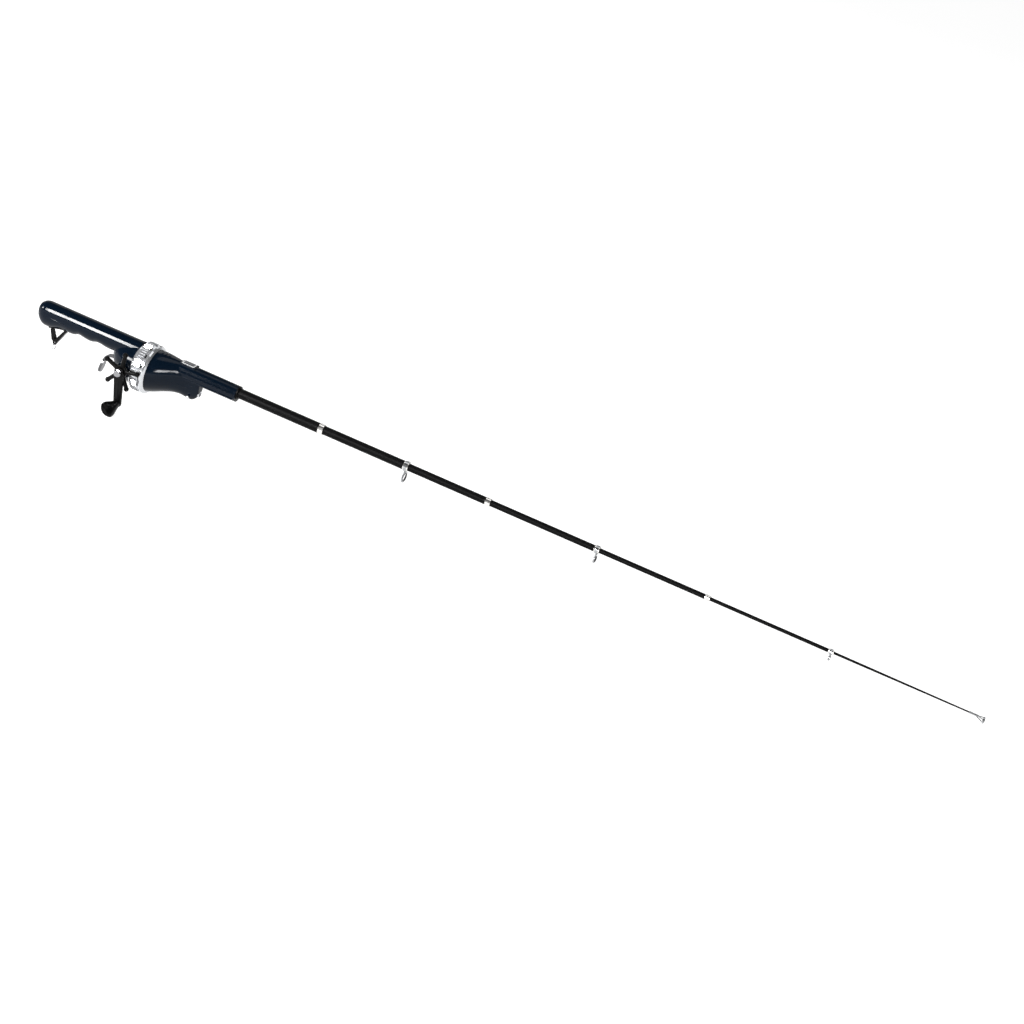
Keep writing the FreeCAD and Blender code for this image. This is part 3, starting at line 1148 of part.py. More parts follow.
# ---------------------------------------------------------------- everything
def main():
    """Build and write every sub-part."""
    os.makedirs("parts", exist_ok=True)
    make_handle()
    save("end_cap", make_end_cap())
    save("storage_tube", make_storage_tube())
    save("cover_ring", make_cover_ring())
    save("front_housing", make_front_housing())
    save("name_plate", plate_solid(0))
    save("nose_collar", make_nose_collar())
    save("line_eyelet", make_eyelet())
    save("snout_pin", make_snout_pin())
    save("bulkhead", make_bulkhead())
    save("main_bushes", make_main_bushes())
    save("spool", make_spool())
    save("main_shaft", make_main_shaft())
    save("pinion", make_pinion())
    save("rotor", make_rotor())
    save("pickup_pin", pickup_pin())
    save("rotor_nut", make_rotor_nut())
    save("crank_shaft", make_crank_shaft())
    save("crown_gear", make_crown_gear())
    save("crank_bushes", make_crank_bushes())
    save("drag_washers", make_drag_washers())
    save("star_drag", make_star())
    save("crank_arm", make_crank_arm())
    save("crank_nut", make_crank_nut())
    save("knob_axle", make_knob_axle())
    save("crank_knob", make_knob())
    save("trigger", make_trigger())
    save("trigger_pin", make_trigger_pin())
    save("trigger_spring", make_trigger_spring())
    save("release_slider", make_slider())
    save("lanyard_plate", make_lug_plate())
    save("lanyard_bracket", make_lug())
    save("lanyard_ring", make_lanyard_ring())
    for index in range(1, BLANK_COUNT + 1):
        save("rod_section_%d" % index, make_blank(index))
    for index in range(1, BLANK_COUNT):
        save("ferrule_%d" % index, make_ferrule(index))
    for letter in GUIDES:
        save("guide_frame_" + letter, make_guide_frame(letter))
        save("guide_ring_" + letter, make_guide_ring(letter))
    save("tip_top", make_tip_top())
    save("tip_ring", make_tip_ring())


main()
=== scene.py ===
"""Looks of a telescopic ice fishing rod whose handle holds a closed-face reel.

The rod lies along +X from butt to tip and +Z is up. Lengths are in metres unless a name
ends in _mm. Every sub-assembly is a class that dresses its own parts and builds the small
fittings that go with them; every finish is a class that makes one procedural material.
"""
from __future__ import annotations

import logging
import math
from dataclasses import dataclass
from enum import Enum
from typing import Mapping, Sequence, Union

import bmesh
import bpy
from mathutils import Matrix, Vector
from mathutils.bvhtree import BVHTree


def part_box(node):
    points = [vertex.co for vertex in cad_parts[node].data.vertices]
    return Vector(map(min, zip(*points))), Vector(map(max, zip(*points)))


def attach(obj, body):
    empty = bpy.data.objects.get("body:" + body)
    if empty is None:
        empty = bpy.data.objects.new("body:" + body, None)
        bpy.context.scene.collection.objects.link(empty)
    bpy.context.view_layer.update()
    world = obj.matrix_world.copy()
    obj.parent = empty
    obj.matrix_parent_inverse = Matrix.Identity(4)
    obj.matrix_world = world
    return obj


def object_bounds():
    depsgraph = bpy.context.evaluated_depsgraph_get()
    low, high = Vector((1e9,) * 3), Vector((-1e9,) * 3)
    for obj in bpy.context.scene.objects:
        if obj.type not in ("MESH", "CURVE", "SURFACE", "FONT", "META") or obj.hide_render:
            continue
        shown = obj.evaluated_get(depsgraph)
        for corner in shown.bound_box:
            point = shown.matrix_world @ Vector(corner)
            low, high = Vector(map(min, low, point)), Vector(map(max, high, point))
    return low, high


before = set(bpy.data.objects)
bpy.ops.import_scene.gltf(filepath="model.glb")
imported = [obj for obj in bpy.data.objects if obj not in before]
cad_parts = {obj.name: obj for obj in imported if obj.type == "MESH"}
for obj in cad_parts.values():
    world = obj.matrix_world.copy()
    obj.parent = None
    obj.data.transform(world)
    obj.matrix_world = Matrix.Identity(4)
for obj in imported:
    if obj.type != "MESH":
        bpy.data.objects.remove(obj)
CAD_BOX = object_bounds()

LOG = logging.getLogger("ice_rod")
MM = 0.001
SHARP_ANGLE = math.radians(40.0)
CORNER_STEPS = 8
BEAD_SIDES = 8
BEAD_STEPS = 24
BEAD_SINK = 0.15 * MM
BEAD_TAPER = (0.04, 0.96)  # stretch of a half wave that a bead's swell follows from end to end
BEAD_FULLNESS = 0.5        # power of the swell; a smaller one keeps the bead full for longer
OUTSIDE = 0.2              # a distance from the rod's axis that is clear of every part

Colour = tuple[float, float, float]
Number = Union[int, float]


# ---------------------------------------------------------------- shader expressions
class Value:
    """A number, colour or vector that leaves a node and can be used in an expression."""

    def __init__(self, graph: Graph, socket: bpy.types.NodeSocket) -> None:
        """Wrap a socket.

        Args:
            graph: The node tree that new nodes are added to.
            socket: The output socket that carries the value.
        """
        self.graph = graph
        self.socket = socket

    def _math(self, operation: str, first: Operand, second: Operand) -> Value:
        """Add a Math node.

        Args:
            operation: Name of the Math node's operation.
            first: First operand.
            second: Second operand.

        Returns:
            The node's result.
        """
        return self.graph.node("ShaderNodeMath", {"operation": operation}, {0: first, 1: second})

    def __add__(self, other: Operand) -> Value:
        """Return self + other."""
        return self._math("ADD", self, other)

    __radd__ = __add__

    def __sub__(self, other: Operand) -> Value:
        """Return self - other."""
        return self._math("SUBTRACT", self, other)

    def __rsub__(self, other: Operand) -> Value:
        """Return other - self."""
        return self._math("SUBTRACT", other, self)

    def __mul__(self, other: Operand) -> Value:
        """Return self * other."""
        return self._math("MULTIPLY", self, other)

    __rmul__ = __mul__

    def __lt__(self, other: Operand) -> Value:
        """Return 1 where self is less than other, and 0 elsewhere."""
        return self._math("LESS_THAN", self, other)

    def __abs__(self) -> Value:
        """Return the size of self without its sign."""
        return self._math("ABSOLUTE", self, 0.0)


Operand = Union[Value, Number]


class Graph:
    """Node tree of one material or world, filled by expressions."""

    def __init__(self, tree: bpy.types.NodeTree) -> None:
        """Start on an emptied node tree.

        Args:
            tree: The node tree to fill.
        """
        self.tree = tree
        tree.nodes.clear()

    def node(self, kind: str, settings: Mapping[str, object] | None = None,
             inputs: Mapping[Union[int, str], object] | None = None,
             output: Union[int, str] = 0) -> Value:
        """Add a node, set it up and feed its sockets.

        Args:
            kind: The node's type.
            settings: Its own settings, set first; "stops" are a colour ramp's stops.
            inputs: Values or links of its sockets, by index or name.
            output: The socket whose value is wanted.

        Returns:
            The value of that output.
        """
        made = self.tree.nodes.new(kind)
        for name, value in (settings or {}).items():
            if name == "stops":
                self._set_stops(made.color_ramp, value)
            else:
                setattr(made, name, value)
        for key, value in (inputs or {}).items():
            if isinstance(value, Value):
                self.tree.links.new(value.socket, made.inputs[key])
            elif value is not None:
                made.inputs[key].default_value = value
        return Value(self, made.outputs[output] if len(made.outputs) else made.inputs[0])

    @staticmethod
    def _set_stops(ramp: bpy.types.ColorRamp, stops: Sequence[tuple[float, float]]) -> None:
        """Give a colour ramp grey stops.

        Args:
            ramp: The ramp to set.
            stops: (position, brightness) pairs in order.
        """
        while len(ramp.elements) < len(stops):
            ramp.elements.new(1.0)
        for element, (position, brightness) in zip(ramp.elements, stops):
            element.position = position
            element.color = (brightness, brightness, brightness, 1.0)

    def place(self) -> Value:
        """Return the point on the surface, in metres in the object's own frame."""
        return self.node("ShaderNodeTexCoord", output="Object")

    def along(self, axis: Axis) -> Value:
        """Return one coordinate of the surface point, in metres."""
        return self.node("ShaderNodeSeparateXYZ", inputs={0: self.place()}, output=axis.value)

    def stretched(self, scales: tuple[float, float, float]) -> Value:
        """Return the surface point scaled by a number per axis."""
        return self.node("ShaderNodeVectorMath", {"operation": "MULTIPLY"}, {0: self.place(), 1: scales})

    def noise(self, scale: float, detail: float = 3.0,
              stretch: tuple[float, float, float] = (1.0, 1.0, 1.0), rough: float = 0.5) -> Value:
        """Add noise from 0 to 1.

        Args:
            scale: Lumps per metre.
            detail: Octaves of finer noise.
            stretch: Scale of each axis, to draw the noise out into streaks.
            rough: Share that each finer octave keeps.

        Returns:
            The noise, about 0.5 on average.
        """
        return self.node("ShaderNodeTexNoise", inputs={"Vector": self.stretched(stretch), "Scale": scale,
                                                       "Detail": detail, "Roughness": rough})

    def ramp(self, value: Operand, *stops: tuple[float, float]) -> Value:
        """Map a value through grey stops.

        Args:
            value: What to map.
            stops: (position, brightness) pairs in order.

        Returns:
            The brightness at the value.
        """
        return self.node("ShaderNodeValToRGB", {"stops": stops}, {0: value})

    def mix(self, mask: Operand, first: Union[Value, Colour], second: Union[Value, Colour]) -> Value:
        """Mix two colours.

        Args:
            mask: 0 for the first colour, 1 for the second.
            first: Colour at 0.
            second: Colour at 1.

        Returns:
            The mixed colour.
        """
        inputs = {"Factor": mask, 6: rgba(first), 7: rgba(second)}
        return self.node("ShaderNodeMix", {"data_type": "RGBA"}, inputs, output=2)

    def bump(self, height: Value, depth: float, strength: float = 1.0) -> Value:
        """Turn a height into a normal.

        Args:
            height: Height from 0 to 1.
            depth: Real height of 1, in metres.
            strength: How much of the relief shows.

        Returns:
            The bent normal.
        """
        return self.node("ShaderNodeBump",
                         inputs={"Height": height, "Distance": depth, "Strength": strength})


class Axis(Enum):
    """Axis of the frame, named as a Separate XYZ node names it."""

    LENGTH = "X"
    WIDTH = "Y"
    HEIGHT = "Z"


def rgba(colour: Union[Value, Colour]) -> object:
    """Return a colour with an alpha of 1, or a value as it is."""
    return colour if isinstance(colour, Value) else (*colour, 1.0)


# ---------------------------------------------------------------- finishes
@dataclass(frozen=True)
class Finish:
    """Common part of every finish: the material's name and its constant sockets."""

    name: str
    colour: Colour
    roughness: float
    metallic: float = 0.0
    coat: float = 0.0
    coat_roughness: float = 0.03
    specular: float = 0.5

    def material(self) -> bpy.types.Material:
        """Return this finish's material, made on first use."""
        found = bpy.data.materials.get("finish_" + self.name)
        return found or self._make()

    def _make(self) -> bpy.types.Material:
        """Build the material from the finish's own pattern.

        Returns:
            The new material.
        """
        material = bpy.data.materials.new("finish_" + self.name)
        material.use_nodes = True
        graph = Graph(material.node_tree)
        sockets = {
            "Base Color": rgba(self.colour), "Roughness": self.roughness, "Metallic": self.metallic,
            "Coat Weight": self.coat, "Coat Roughness": self.coat_roughness,
            "Specular IOR Level": self.specular,
        }
        sockets.update(self.pattern(graph))
        shader = graph.node("ShaderNodeBsdfPrincipled", inputs=sockets)
        graph.node("ShaderNodeOutputMaterial", inputs={"Surface": shader})
        return material

    def pattern(self, graph: Graph) -> dict[str, object]:
        """Return what varies over the surface, by socket name.

        Args:
            graph: The material's node tree.

        Returns:
            Values for the shader's sockets.
        """
        grain = graph.noise(900.0)
        return {"Roughness": self.roughness + (grain - 0.5) * 0.1}


def darker(colour: Colour, share: float) -> Colour:
    """Return a colour multiplied by a share."""
    return (colour[0] * share, colour[1] * share, colour[2] * share)


@dataclass(frozen=True)
class GlossShell(Finish):
    """Glossy moulded shell: flow marks, orange peel, hairline scratches and handling dullness.

    The seam's depth is counted in heights of the relief.
    """

    seam_half: float = 0.0
    seam_depth: float = 14.0
    seam_shade: float = 0.6
    flow: float = 0.22
    worn_below: float = -11.0 * MM

    def pattern(self, graph: Graph) -> dict[str, object]:
        """Return the shell's colour, gloss and relief.

        Args:
            graph: The material's node tree.

        Returns:
            Values for the shader's sockets.
        """
        flow = graph.noise(26.0, 2.0, (0.35, 1.0, 1.0))
        fleck = graph.ramp(graph.noise(5200.0, 1.0), (0.60, 0.0), (0.72, 1.0))
        peel = graph.noise(420.0, 1.5)
        scratch = graph.ramp(graph.noise(700.0, 2.0, (0.05, 1.0, 1.0)), (0.66, 0.0), (0.70, 1.0))
        smudge = graph.noise(55.0, 4.0)
        worn = graph.ramp(smudge, (0.42, 0.0), (0.66, 1.0))
        handled = (graph.along(Axis.HEIGHT) < self.worn_below) * worn
        colour = graph.mix(flow * self.flow, self.colour, darker(self.colour, 1.9))
        colour = graph.mix(fleck * 0.10, colour, (0.045, 0.075, 0.105))
        rough = self.roughness + (smudge - 0.5) * 0.06 + scratch * 0.07 + handled * 0.06
        height = peel * 0.5 - scratch * 0.16
        if self.seam_half:
            seam = abs(graph.along(Axis.WIDTH)) < self.seam_half
            height = height - seam * self.seam_depth
            colour = graph.mix(seam * self.seam_shade, colour, darker(self.colour, 0.3))
        return {"Base Color": colour, "Roughness": rough, "Normal": graph.bump(height, 0.010 * MM, 0.25)}


@dataclass(frozen=True)
class SatinPlastic(Finish):
    """Black moulding with a spark-eroded grain, rubbed brighter where it is held."""

    grain: float = 2600.0
    depth_mm: float = 0.05

    def pattern(self, graph: Graph) -> dict[str, object]:
        """Return the moulding's colour, gloss and grain.

        Args:
            graph: The material's node tree.

        Returns:
            Values for the shader's sockets.
        """
        grain = graph.noise(self.grain, 3.0, rough=0.6)
        rubbed = graph.ramp(graph.noise(130.0, 3.0), (0.48, 0.0), (0.70, 1.0))
        dust = graph.ramp(graph.noise(1700.0, 1.0), (0.70, 0.0), (0.76, 1.0))
        colour = graph.mix(rubbed * 0.35, self.colour, darker(self.colour, 1.8))
        colour = graph.mix(dust * 0.25, colour, (0.09, 0.09, 0.09))
        rough = self.roughness + (grain - 0.5) * 0.12 - rubbed * 0.10
        return {"Base Color": colour, "Roughness": rough,
                "Normal": graph.bump(grain, self.depth_mm * MM, 0.5)}


@dataclass(frozen=True)
class BrightPlating(Finish):
    """Bright plating: faint haze, finger smudges, fine wiping scratches and a few pits."""

    scratch_stretch: tuple[float, float, float] = (1.0, 0.08, 0.08)

    def pattern(self, graph: Graph) -> dict[str, object]:
        """Return the plating's tint, haze and relief.

        Args:
            graph: The material's node tree.

        Returns:
            Values for the shader's sockets.
        """
        haze = graph.noise(75.0, 4.0)
        scratch = graph.ramp(graph.noise(3200.0, 2.0, self.scratch_stretch), (0.62, 0.0), (0.70, 1.0))
        pit = graph.ramp(graph.noise(1500.0, 1.0), (0.74, 0.0), (0.78, 1.0))
        tint = graph.mix(haze, self.colour, darker(self.colour, 0.86))
        tint = graph.mix(pit * 0.5, tint, darker(self.colour, 0.4))
        rough = self.roughness + (haze - 0.5) * 0.10 + scratch * 0.08
        height = 0.5 - scratch * 0.2 - pit * 0.6
        return {"Base Color": tint, "Roughness": rough, "Normal": graph.bump(height, 0.012 * MM, 0.5)}


@dataclass(frozen=True)
class BrushedMetal(Finish):
    """Metal with straight brush or turning marks and slight staining."""

    grain: float = 1800.0
    stretch: tuple[float, float, float] = (0.03, 1.0, 1.0)
    marks: float = 0.5

    def pattern(self, graph: Graph) -> dict[str, object]:
        """Return the metal's tint, gloss and brush marks.

        Args:
            graph: The material's node tree.

        Returns:
            Values for the shader's sockets.
        """
        brush = graph.noise(self.grain, 4.0, self.stretch, 0.65)
        stain = graph.noise(110.0, 4.0)
        tint = graph.mix(brush * self.marks, self.colour, darker(self.colour, 0.62))
        tint = graph.mix(graph.ramp(stain, (0.50, 0.0), (0.78, 1.0)) * 0.3, tint, darker(self.colour, 0.5))
        rough = self.roughness + (brush - 0.5) * 0.22 + (stain - 0.5) * 0.12
        return {"Base Color": tint, "Roughness": rough, "Normal": graph.bump(brush, 0.02 * MM, 0.5)}


@dataclass(frozen=True)
class RodBlankFinish(Finish):
    """Black rod blank: tape ridges round it, lengthwise fibres under a satin lacquer, rubbed bands."""

    ridge_pitch_mm: float = 1.1
    wave_scale: float = 0.314  # scale of a Wave texture whose bands are one unit apart

    def pattern(self, graph: Graph) -> dict[str, object]:
        """Return the blank's colour, gloss and tape ridges.

        Args:
            graph: The material's node tree.

        Returns:
            Values for the shader's sockets.
        """
        wave = graph.node("ShaderNodeTexWave", {"bands_direction": "X"},
                          {"Vector": graph.place(), "Scale": self.wave_scale / (self.ridge_pitch_mm * MM),
                           "Distortion": 1.2, "Detail": 2.0, "Detail Scale": 0.6}, output=1)
        fibre = graph.noise(1500.0, 3.0, (0.02, 1.0, 1.0))
        cloud = graph.noise(38.0, 3.0, (0.4, 1.0, 1.0))
        speck = graph.ramp(graph.noise(2100.0, 1.0), (0.68, 0.0), (0.74, 1.0))
        colour = graph.mix(fibre * 0.5 + cloud * 0.2, self.colour, darker(self.colour, 2.4))
        colour = graph.mix(speck * 0.35, colour, (0.10, 0.10, 0.10))
        rough = self.roughness + (wave - 0.5) * 0.10 + (cloud - 0.5) * 0.16
        height = wave * 0.6 + fibre * 0.4
        return {"Base Color": colour, "Roughness": rough, "Normal": graph.bump(height, 0.03 * MM, 0.55)}


@dataclass(frozen=True)
class GlazedRing(Finish):
    """Polished dark ceramic with fine grinding rings and scattered light grains."""

    def pattern(self, graph: Graph) -> dict[str, object]:
        """Return the ceramic's colour, gloss and relief.

        Args:
            graph: The material's node tree.

        Returns:
            Values for the shader's sockets.
        """
        grains = graph.ramp(graph.noise(6000.0, 1.0), (0.62, 0.0), (0.70, 1.0))
        ground = graph.noise(2500.0, 2.0, (1.0, 0.1, 0.1))
        colour = graph.mix(grains * 0.4, self.colour, darker(self.colour, 4.0))
        rough = self.roughness + (ground - 0.5) * 0.10
        return {"Base Color": colour, "Roughness": rough, "Normal": graph.bump(ground, 0.006 * MM, 0.5)}


@dataclass(frozen=True)
class Acetal(Finish):
    """Natural acetal moulding with faint flow lines and black dust from the line."""

    def pattern(self, graph: Graph) -> dict[str, object]:
        """Return the moulding's colour, gloss and relief.

        Args:
            graph: The material's node tree.

        Returns:
            Values for the shader's sockets.
        """
        flow = graph.noise(180.0, 3.0, (0.4, 1.0, 1.0))
        dirt = graph.ramp(graph.noise(420.0, 4.0), (0.55, 0.0), (0.75, 1.0))
        colour = graph.mix(flow * 0.5, self.colour, darker(self.colour, 0.82))
        colour = graph.mix(dirt * 0.22, colour, (0.20, 0.19, 0.17))
        rough = self.roughness + (flow - 0.5) * 0.14
        return {"Base Color": colour, "Roughness": rough, "Normal": graph.bump(flow, 0.02 * MM, 0.4)}


NAVY: Colour = (0.0004, 0.0021, 0.0053)
BLACK: Colour = (0.0013, 0.0013, 0.0014)


class Stock(Enum):
    """Every finish that the rod is made in."""

    SHELL = GlossShell("moulded_navy_gloss", NAVY, 0.10, specular=0.12)
    SEAMED_SHELL = GlossShell("moulded_navy_gloss_seam", NAVY, 0.10, specular=0.12, seam_half=0.09 * MM)
    BLACK_MOULDING = SatinPlastic("black_satin_moulding", BLACK, 0.34, specular=0.08)
    KNOB = SatinPlastic("black_soft_knob", BLACK, 0.27, specular=0.09, grain=2100.0, depth_mm=0.07)
    BLACK_METAL = SatinPlastic("black_lacquered_metal", BLACK, 0.24, specular=0.10, grain=3400.0,
                               depth_mm=0.03)
    PLATING = BrightPlating("bright_chrome", (0.56, 0.57, 0.59), 0.12, metallic=0.82)
    FERRULE = BrightPlating("polished_nickel", (0.78, 0.77, 0.75), 0.12, metallic=1.0)
    GUIDE_WIRE = BrightPlating("plated_guide_wire", (0.42, 0.43, 0.44), 0.14, metallic=1.0)
    BADGE = BrushedMetal("brushed_badge", (0.70, 0.70, 0.70), 0.24, metallic=1.0, grain=2600.0,
                         marks=0.35)
    DARK_NICKEL = BrightPlating("dark_nickel", (0.30, 0.30, 0.31), 0.13, metallic=1.0)
    TRIGGER = BrushedMetal("tumbled_zinc", (0.11, 0.112, 0.116), 0.26, metallic=1.0, grain=900.0,
                           stretch=(1.0, 1.0, 1.0), marks=0.22)
    STEEL = BrushedMetal("turned_steel", (0.55, 0.55, 0.56), 0.26, metallic=1.0)
    BRASS = BrushedMetal("sintered_brass", (0.62, 0.42, 0.17), 0.34, metallic=1.0)
    GEAR = BrushedMetal("cast_gear_alloy", (0.40, 0.41, 0.43), 0.38, metallic=1.0,
                        stretch=(1.0, 1.0, 1.0))
    ACETAL = Acetal("natural_acetal", (0.72, 0.71, 0.67), 0.36)
    BLANK = RodBlankFinish("black_rod_blank", (0.0011, 0.0011, 0.0012), 0.42, specular=0.04)
    CERAMIC = GlazedRing("dark_ceramic", (0.012, 0.012, 0.014), 0.10, coat=0.4)
    ENAMEL = SatinPlastic("badge_enamel", (0.018, 0.020, 0.024), 0.22, coat=0.3, depth_mm=0.02)


# ---------------------------------------------------------------- mesh building
def dress(node: str, stock: Stock) -> None:
    """Give a CAD node its finish.

    Args:
        node: Name of the node.
        stock: The finish.
    """
    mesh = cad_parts[node].data
    mesh.materials.clear()
    mesh.materials.append(stock.value.material())
    LOG.info("%s dressed as %s", node, stock.name.lower())


def make_piece(name: str, mesh: bmesh.types.BMesh, stock: Stock, body: str) -> None:
    """Turn a built mesh into a piece that rides on a body.

    Args:
        name: Name of the piece.
        mesh: Its mesh, in metres in the rod's frame; freed here.
        stock: Its finish.
        body: The body that it moves with.
    """
    bmesh.ops.recalc_face_normals(mesh, faces=mesh.faces)
    data = bpy.data.meshes.new(name)
    mesh.to_mesh(data)
    mesh.free()
    data.materials.append(stock.value.material())
    data.shade_smooth()
    data.set_sharp_from_angle(angle=SHARP_ANGLE)
    piece = bpy.data.objects.new(name, data)
    bpy.context.scene.collection.objects.link(piece)
    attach(piece, body)
    LOG.info("%s built with %d faces", name, len(data.polygons))


def rounded_panel(half_x: float, half_y: float, corner: float, low: float, high: float, bevel: float,
                  place: Matrix) -> bmesh.types.BMesh:
    """Build a flat panel with round corners and a bevelled upper rim.

    Args:
        half_x: Half its length.
        half_y: Half its width.
        corner: Radius of its corners.
        low: Height of its underside.
        high: Height of its face.
        bevel: Width and drop of the bevel.
        place: Where the panel goes.

    Returns:
        The panel's mesh.
    """
    built = bmesh.new()
    loops = []
    rims = ((0.0, low), (0.0, high - bevel), (bevel * 0.4, high - bevel * 0.3), (bevel, high))
    for inset, height in rims:
        loop = []
        for corner_x, corner_y, start in ((1, 1, 0), (-1, 1, 90), (-1, -1, 180), (1, -1, 270)):
            for step in range(CORNER_STEPS + 1):
                angle = math.radians(start + 90 * step / CORNER_STEPS)
                reach = corner - inset
                loop.append(built.verts.new(place @ Vector((
                    corner_x * (half_x - corner) + reach * math.cos(angle),
                    corner_y * (half_y - corner) + reach * math.sin(angle), height))))
        loops.append(loop)
    count = len(loops[0])
    for lower, upper in zip(loops, loops[1:]):
        for index in range(count):
            after = (index + 1) % count
            built.faces.new((lower[index], lower[after], upper[after], upper[index]))
    built.faces.new(loops[0])
    built.faces.new(loops[-1])
    return built


def surface_of(node: str) -> BVHTree:
    """Return a search tree over a CAD node's faces.

    Args:
        node: Name of the node.

    Returns:
        The search tree, in the rod's frame.
    """
    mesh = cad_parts[node].data
    corners = [vertex.co.copy() for vertex in mesh.vertices]
    return BVHTree.FromPolygons(corners, [tuple(face.vertices) for face in mesh.polygons])


def raised_bead(built: bmesh.types.BMesh, surface: BVHTree, route: Sequence[tuple[float, float]],
                outward: Vector, half_width: float, rise: float) -> None:
    """Add a half-round bead that lies on a surface and thins out towards both ends.

    Args:
        built: Mesh that the bead is added to.
        surface: Surface that carries it.
        route: (x, z) corners of its path seen from outside, in metres.
        outward: Direction that the surface is looked at from.
        half_width: Half its width at its middle.
        rise: Its height at its middle.
    """
    stations = []
    for (x0, z0), (x1, z1) in zip(route, route[1:]):
        stations += [(x0 + (x1 - x0) * step / BEAD_STEPS, z0 + (z1 - z0) * step / BEAD_STEPS)
                     for step in range(BEAD_STEPS)]
    stations.append(route[-1])
    hits = []
    for x, z in stations:
        place, normal, _, _ = surface.ray_cast(Vector((x, 0.0, z)) + outward * OUTSIDE, -outward)
        if place is not None:
            hits.append((place, normal if normal.dot(outward) > 0 else -normal))
    rows = []
    for index, (place, normal) in enumerate(hits):
        before, after = hits[max(index - 1, 0)][0], hits[min(index + 1, len(hits) - 1)][0]
        across = (after - before).normalized().cross(normal).normalized()
        share = BEAD_TAPER[0] + (BEAD_TAPER[1] - BEAD_TAPER[0]) * index / (len(hits) - 1)
        swell = math.sin(math.pi * share) ** BEAD_FULLNESS
        row = []
        for turn in range(BEAD_SIDES + 1):
            angle = math.pi * turn / BEAD_SIDES
            lift = rise * swell * math.sin(angle) - BEAD_SINK
            aside = half_width * swell * math.cos(angle)
            row.append(built.verts.new(place + normal * lift + across * aside))
        rows.append(row)
    for here, there in zip(rows, rows[1:]):
        for index in range(BEAD_SIDES + 1):
            after = (index + 1) % (BEAD_SIDES + 1)
            built.faces.new((here[index], here[after], there[after], there[index]))
    built.faces.new(rows[0])
    built.faces.new(rows[-1])


# ---------------------------------------------------------------- sub-assemblies
@dataclass
class Handle:
    """Grip, end cap, screws and the tube that the blanks slide into."""

    shells: tuple[str, ...] = ("handle_shell_left", "handle_shell_right")
    bead_route: tuple[tuple[float, float], ...] = ((0.0195, -0.0037), (0.0425, -0.0043))
    bead_half_width: float = 0.9 * MM
    bead_rise: float = 0.55 * MM

    def dress(self) -> None:
        """Give the handle's parts their finishes."""
        for shell in self.shells:
            dress(shell, Stock.SEAMED_SHELL)
        dress("end_cap", Stock.SHELL)
        dress("handle_screws", Stock.STEEL)
        dress("storage_tube", Stock.BRASS)

    def build_grip_beads(self) -> None:
        """Raise a slim moulded bead on each side of the grip's rear end."""
        for node, side, name in (("handle_shell_right", 1.0, "grip_bead_right"),
                                 ("handle_shell_left", -1.0, "grip_bead_left")):
            built = bmesh.new()
            raised_bead(built, surface_of(node), self.bead_route, Vector((0.0, side, 0.0)),
                        self.bead_half_width, self.bead_rise)
            make_piece(name, built, Stock.SHELL, "handle")


@dataclass
class ReelCovers:
    """Ring, front housing and what is let into them."""

    creases: tuple[tuple[tuple[float, float], ...], ...] = (
        ((0.2075, -0.0160), (0.2160, -0.0180), (0.2225, -0.0195)),
        ((0.2365, -0.0135), (0.2290, -0.0150), (0.2225, -0.0195), (0.2215, -0.0262)),
    )
    crease_half_width: float = 0.8 * MM
    crease_rise: float = 0.4 * MM
    badge_rim: float = 1.3 * MM
    badge_corner: float = 0.8 * MM
    badge_sink: float = 0.2 * MM
    badge_rise: float = 0.12 * MM
    badge_bevel: float = 0.10 * MM

    def dress(self) -> None:
        """Give the covers their finishes."""
        for node, stock in (("cover_ring", Stock.PLATING), ("front_housing", Stock.SHELL),
                            ("name_plate", Stock.BADGE), ("nose_collar", Stock.BLACK_MOULDING),
                            ("line_eyelet", Stock.PLATING), ("snout_pin", Stock.PLATING)):
            dress(node, stock)

    def build_badge(self) -> None:
        """Lay a bare enamel field on the badge."""
        low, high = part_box("name_plate")
        centre = (low + high) / 2
        half_x = (high.x - low.x) / 2 - self.badge_rim
        half_y = (high.y - low.y) / 2 - self.badge_rim
        place = Matrix.Translation(Vector((centre.x, centre.y, high.z)))
        panel = rounded_panel(half_x, half_y, self.badge_corner, -self.badge_sink, self.badge_rise,
                              self.badge_bevel, place)
        make_piece("badge_field", panel, Stock.ENAMEL, "handle")

    def build_cheek_creases(self) -> None:
        """Raise the forked moulding crease where the snout grows out of the housing, on both sides."""
        for side, name in ((1.0, "cheek_crease_right"), (-1.0, "cheek_crease_left")):
            built = bmesh.new()
            for route in self.creases:
                raised_bead(built, surface_of("front_housing"), route, Vector((0.0, side, 0.0)),
                            self.crease_half_width, self.crease_rise)
            make_piece(name, built, Stock.SHELL, "handle")


@dataclass
class ReelWorks:
    """Gears, shafts, spool and rotor inside the covers."""

    def dress(self) -> None:
        """Give the works their finishes."""
        for node, stock in (("bulkhead", Stock.BLACK_MOULDING), ("main_bushes", Stock.BRASS),
                            ("spool", Stock.ACETAL), ("main_shaft", Stock.STEEL), ("pinion", Stock.BRASS),
                            ("rotor", Stock.GEAR), ("pickup_pin", Stock.STEEL), ("rotor_nut", Stock.BRASS),
                            ("crown_gear", Stock.GEAR), ("crank_bushes", Stock.BRASS)):
            dress(node, stock)


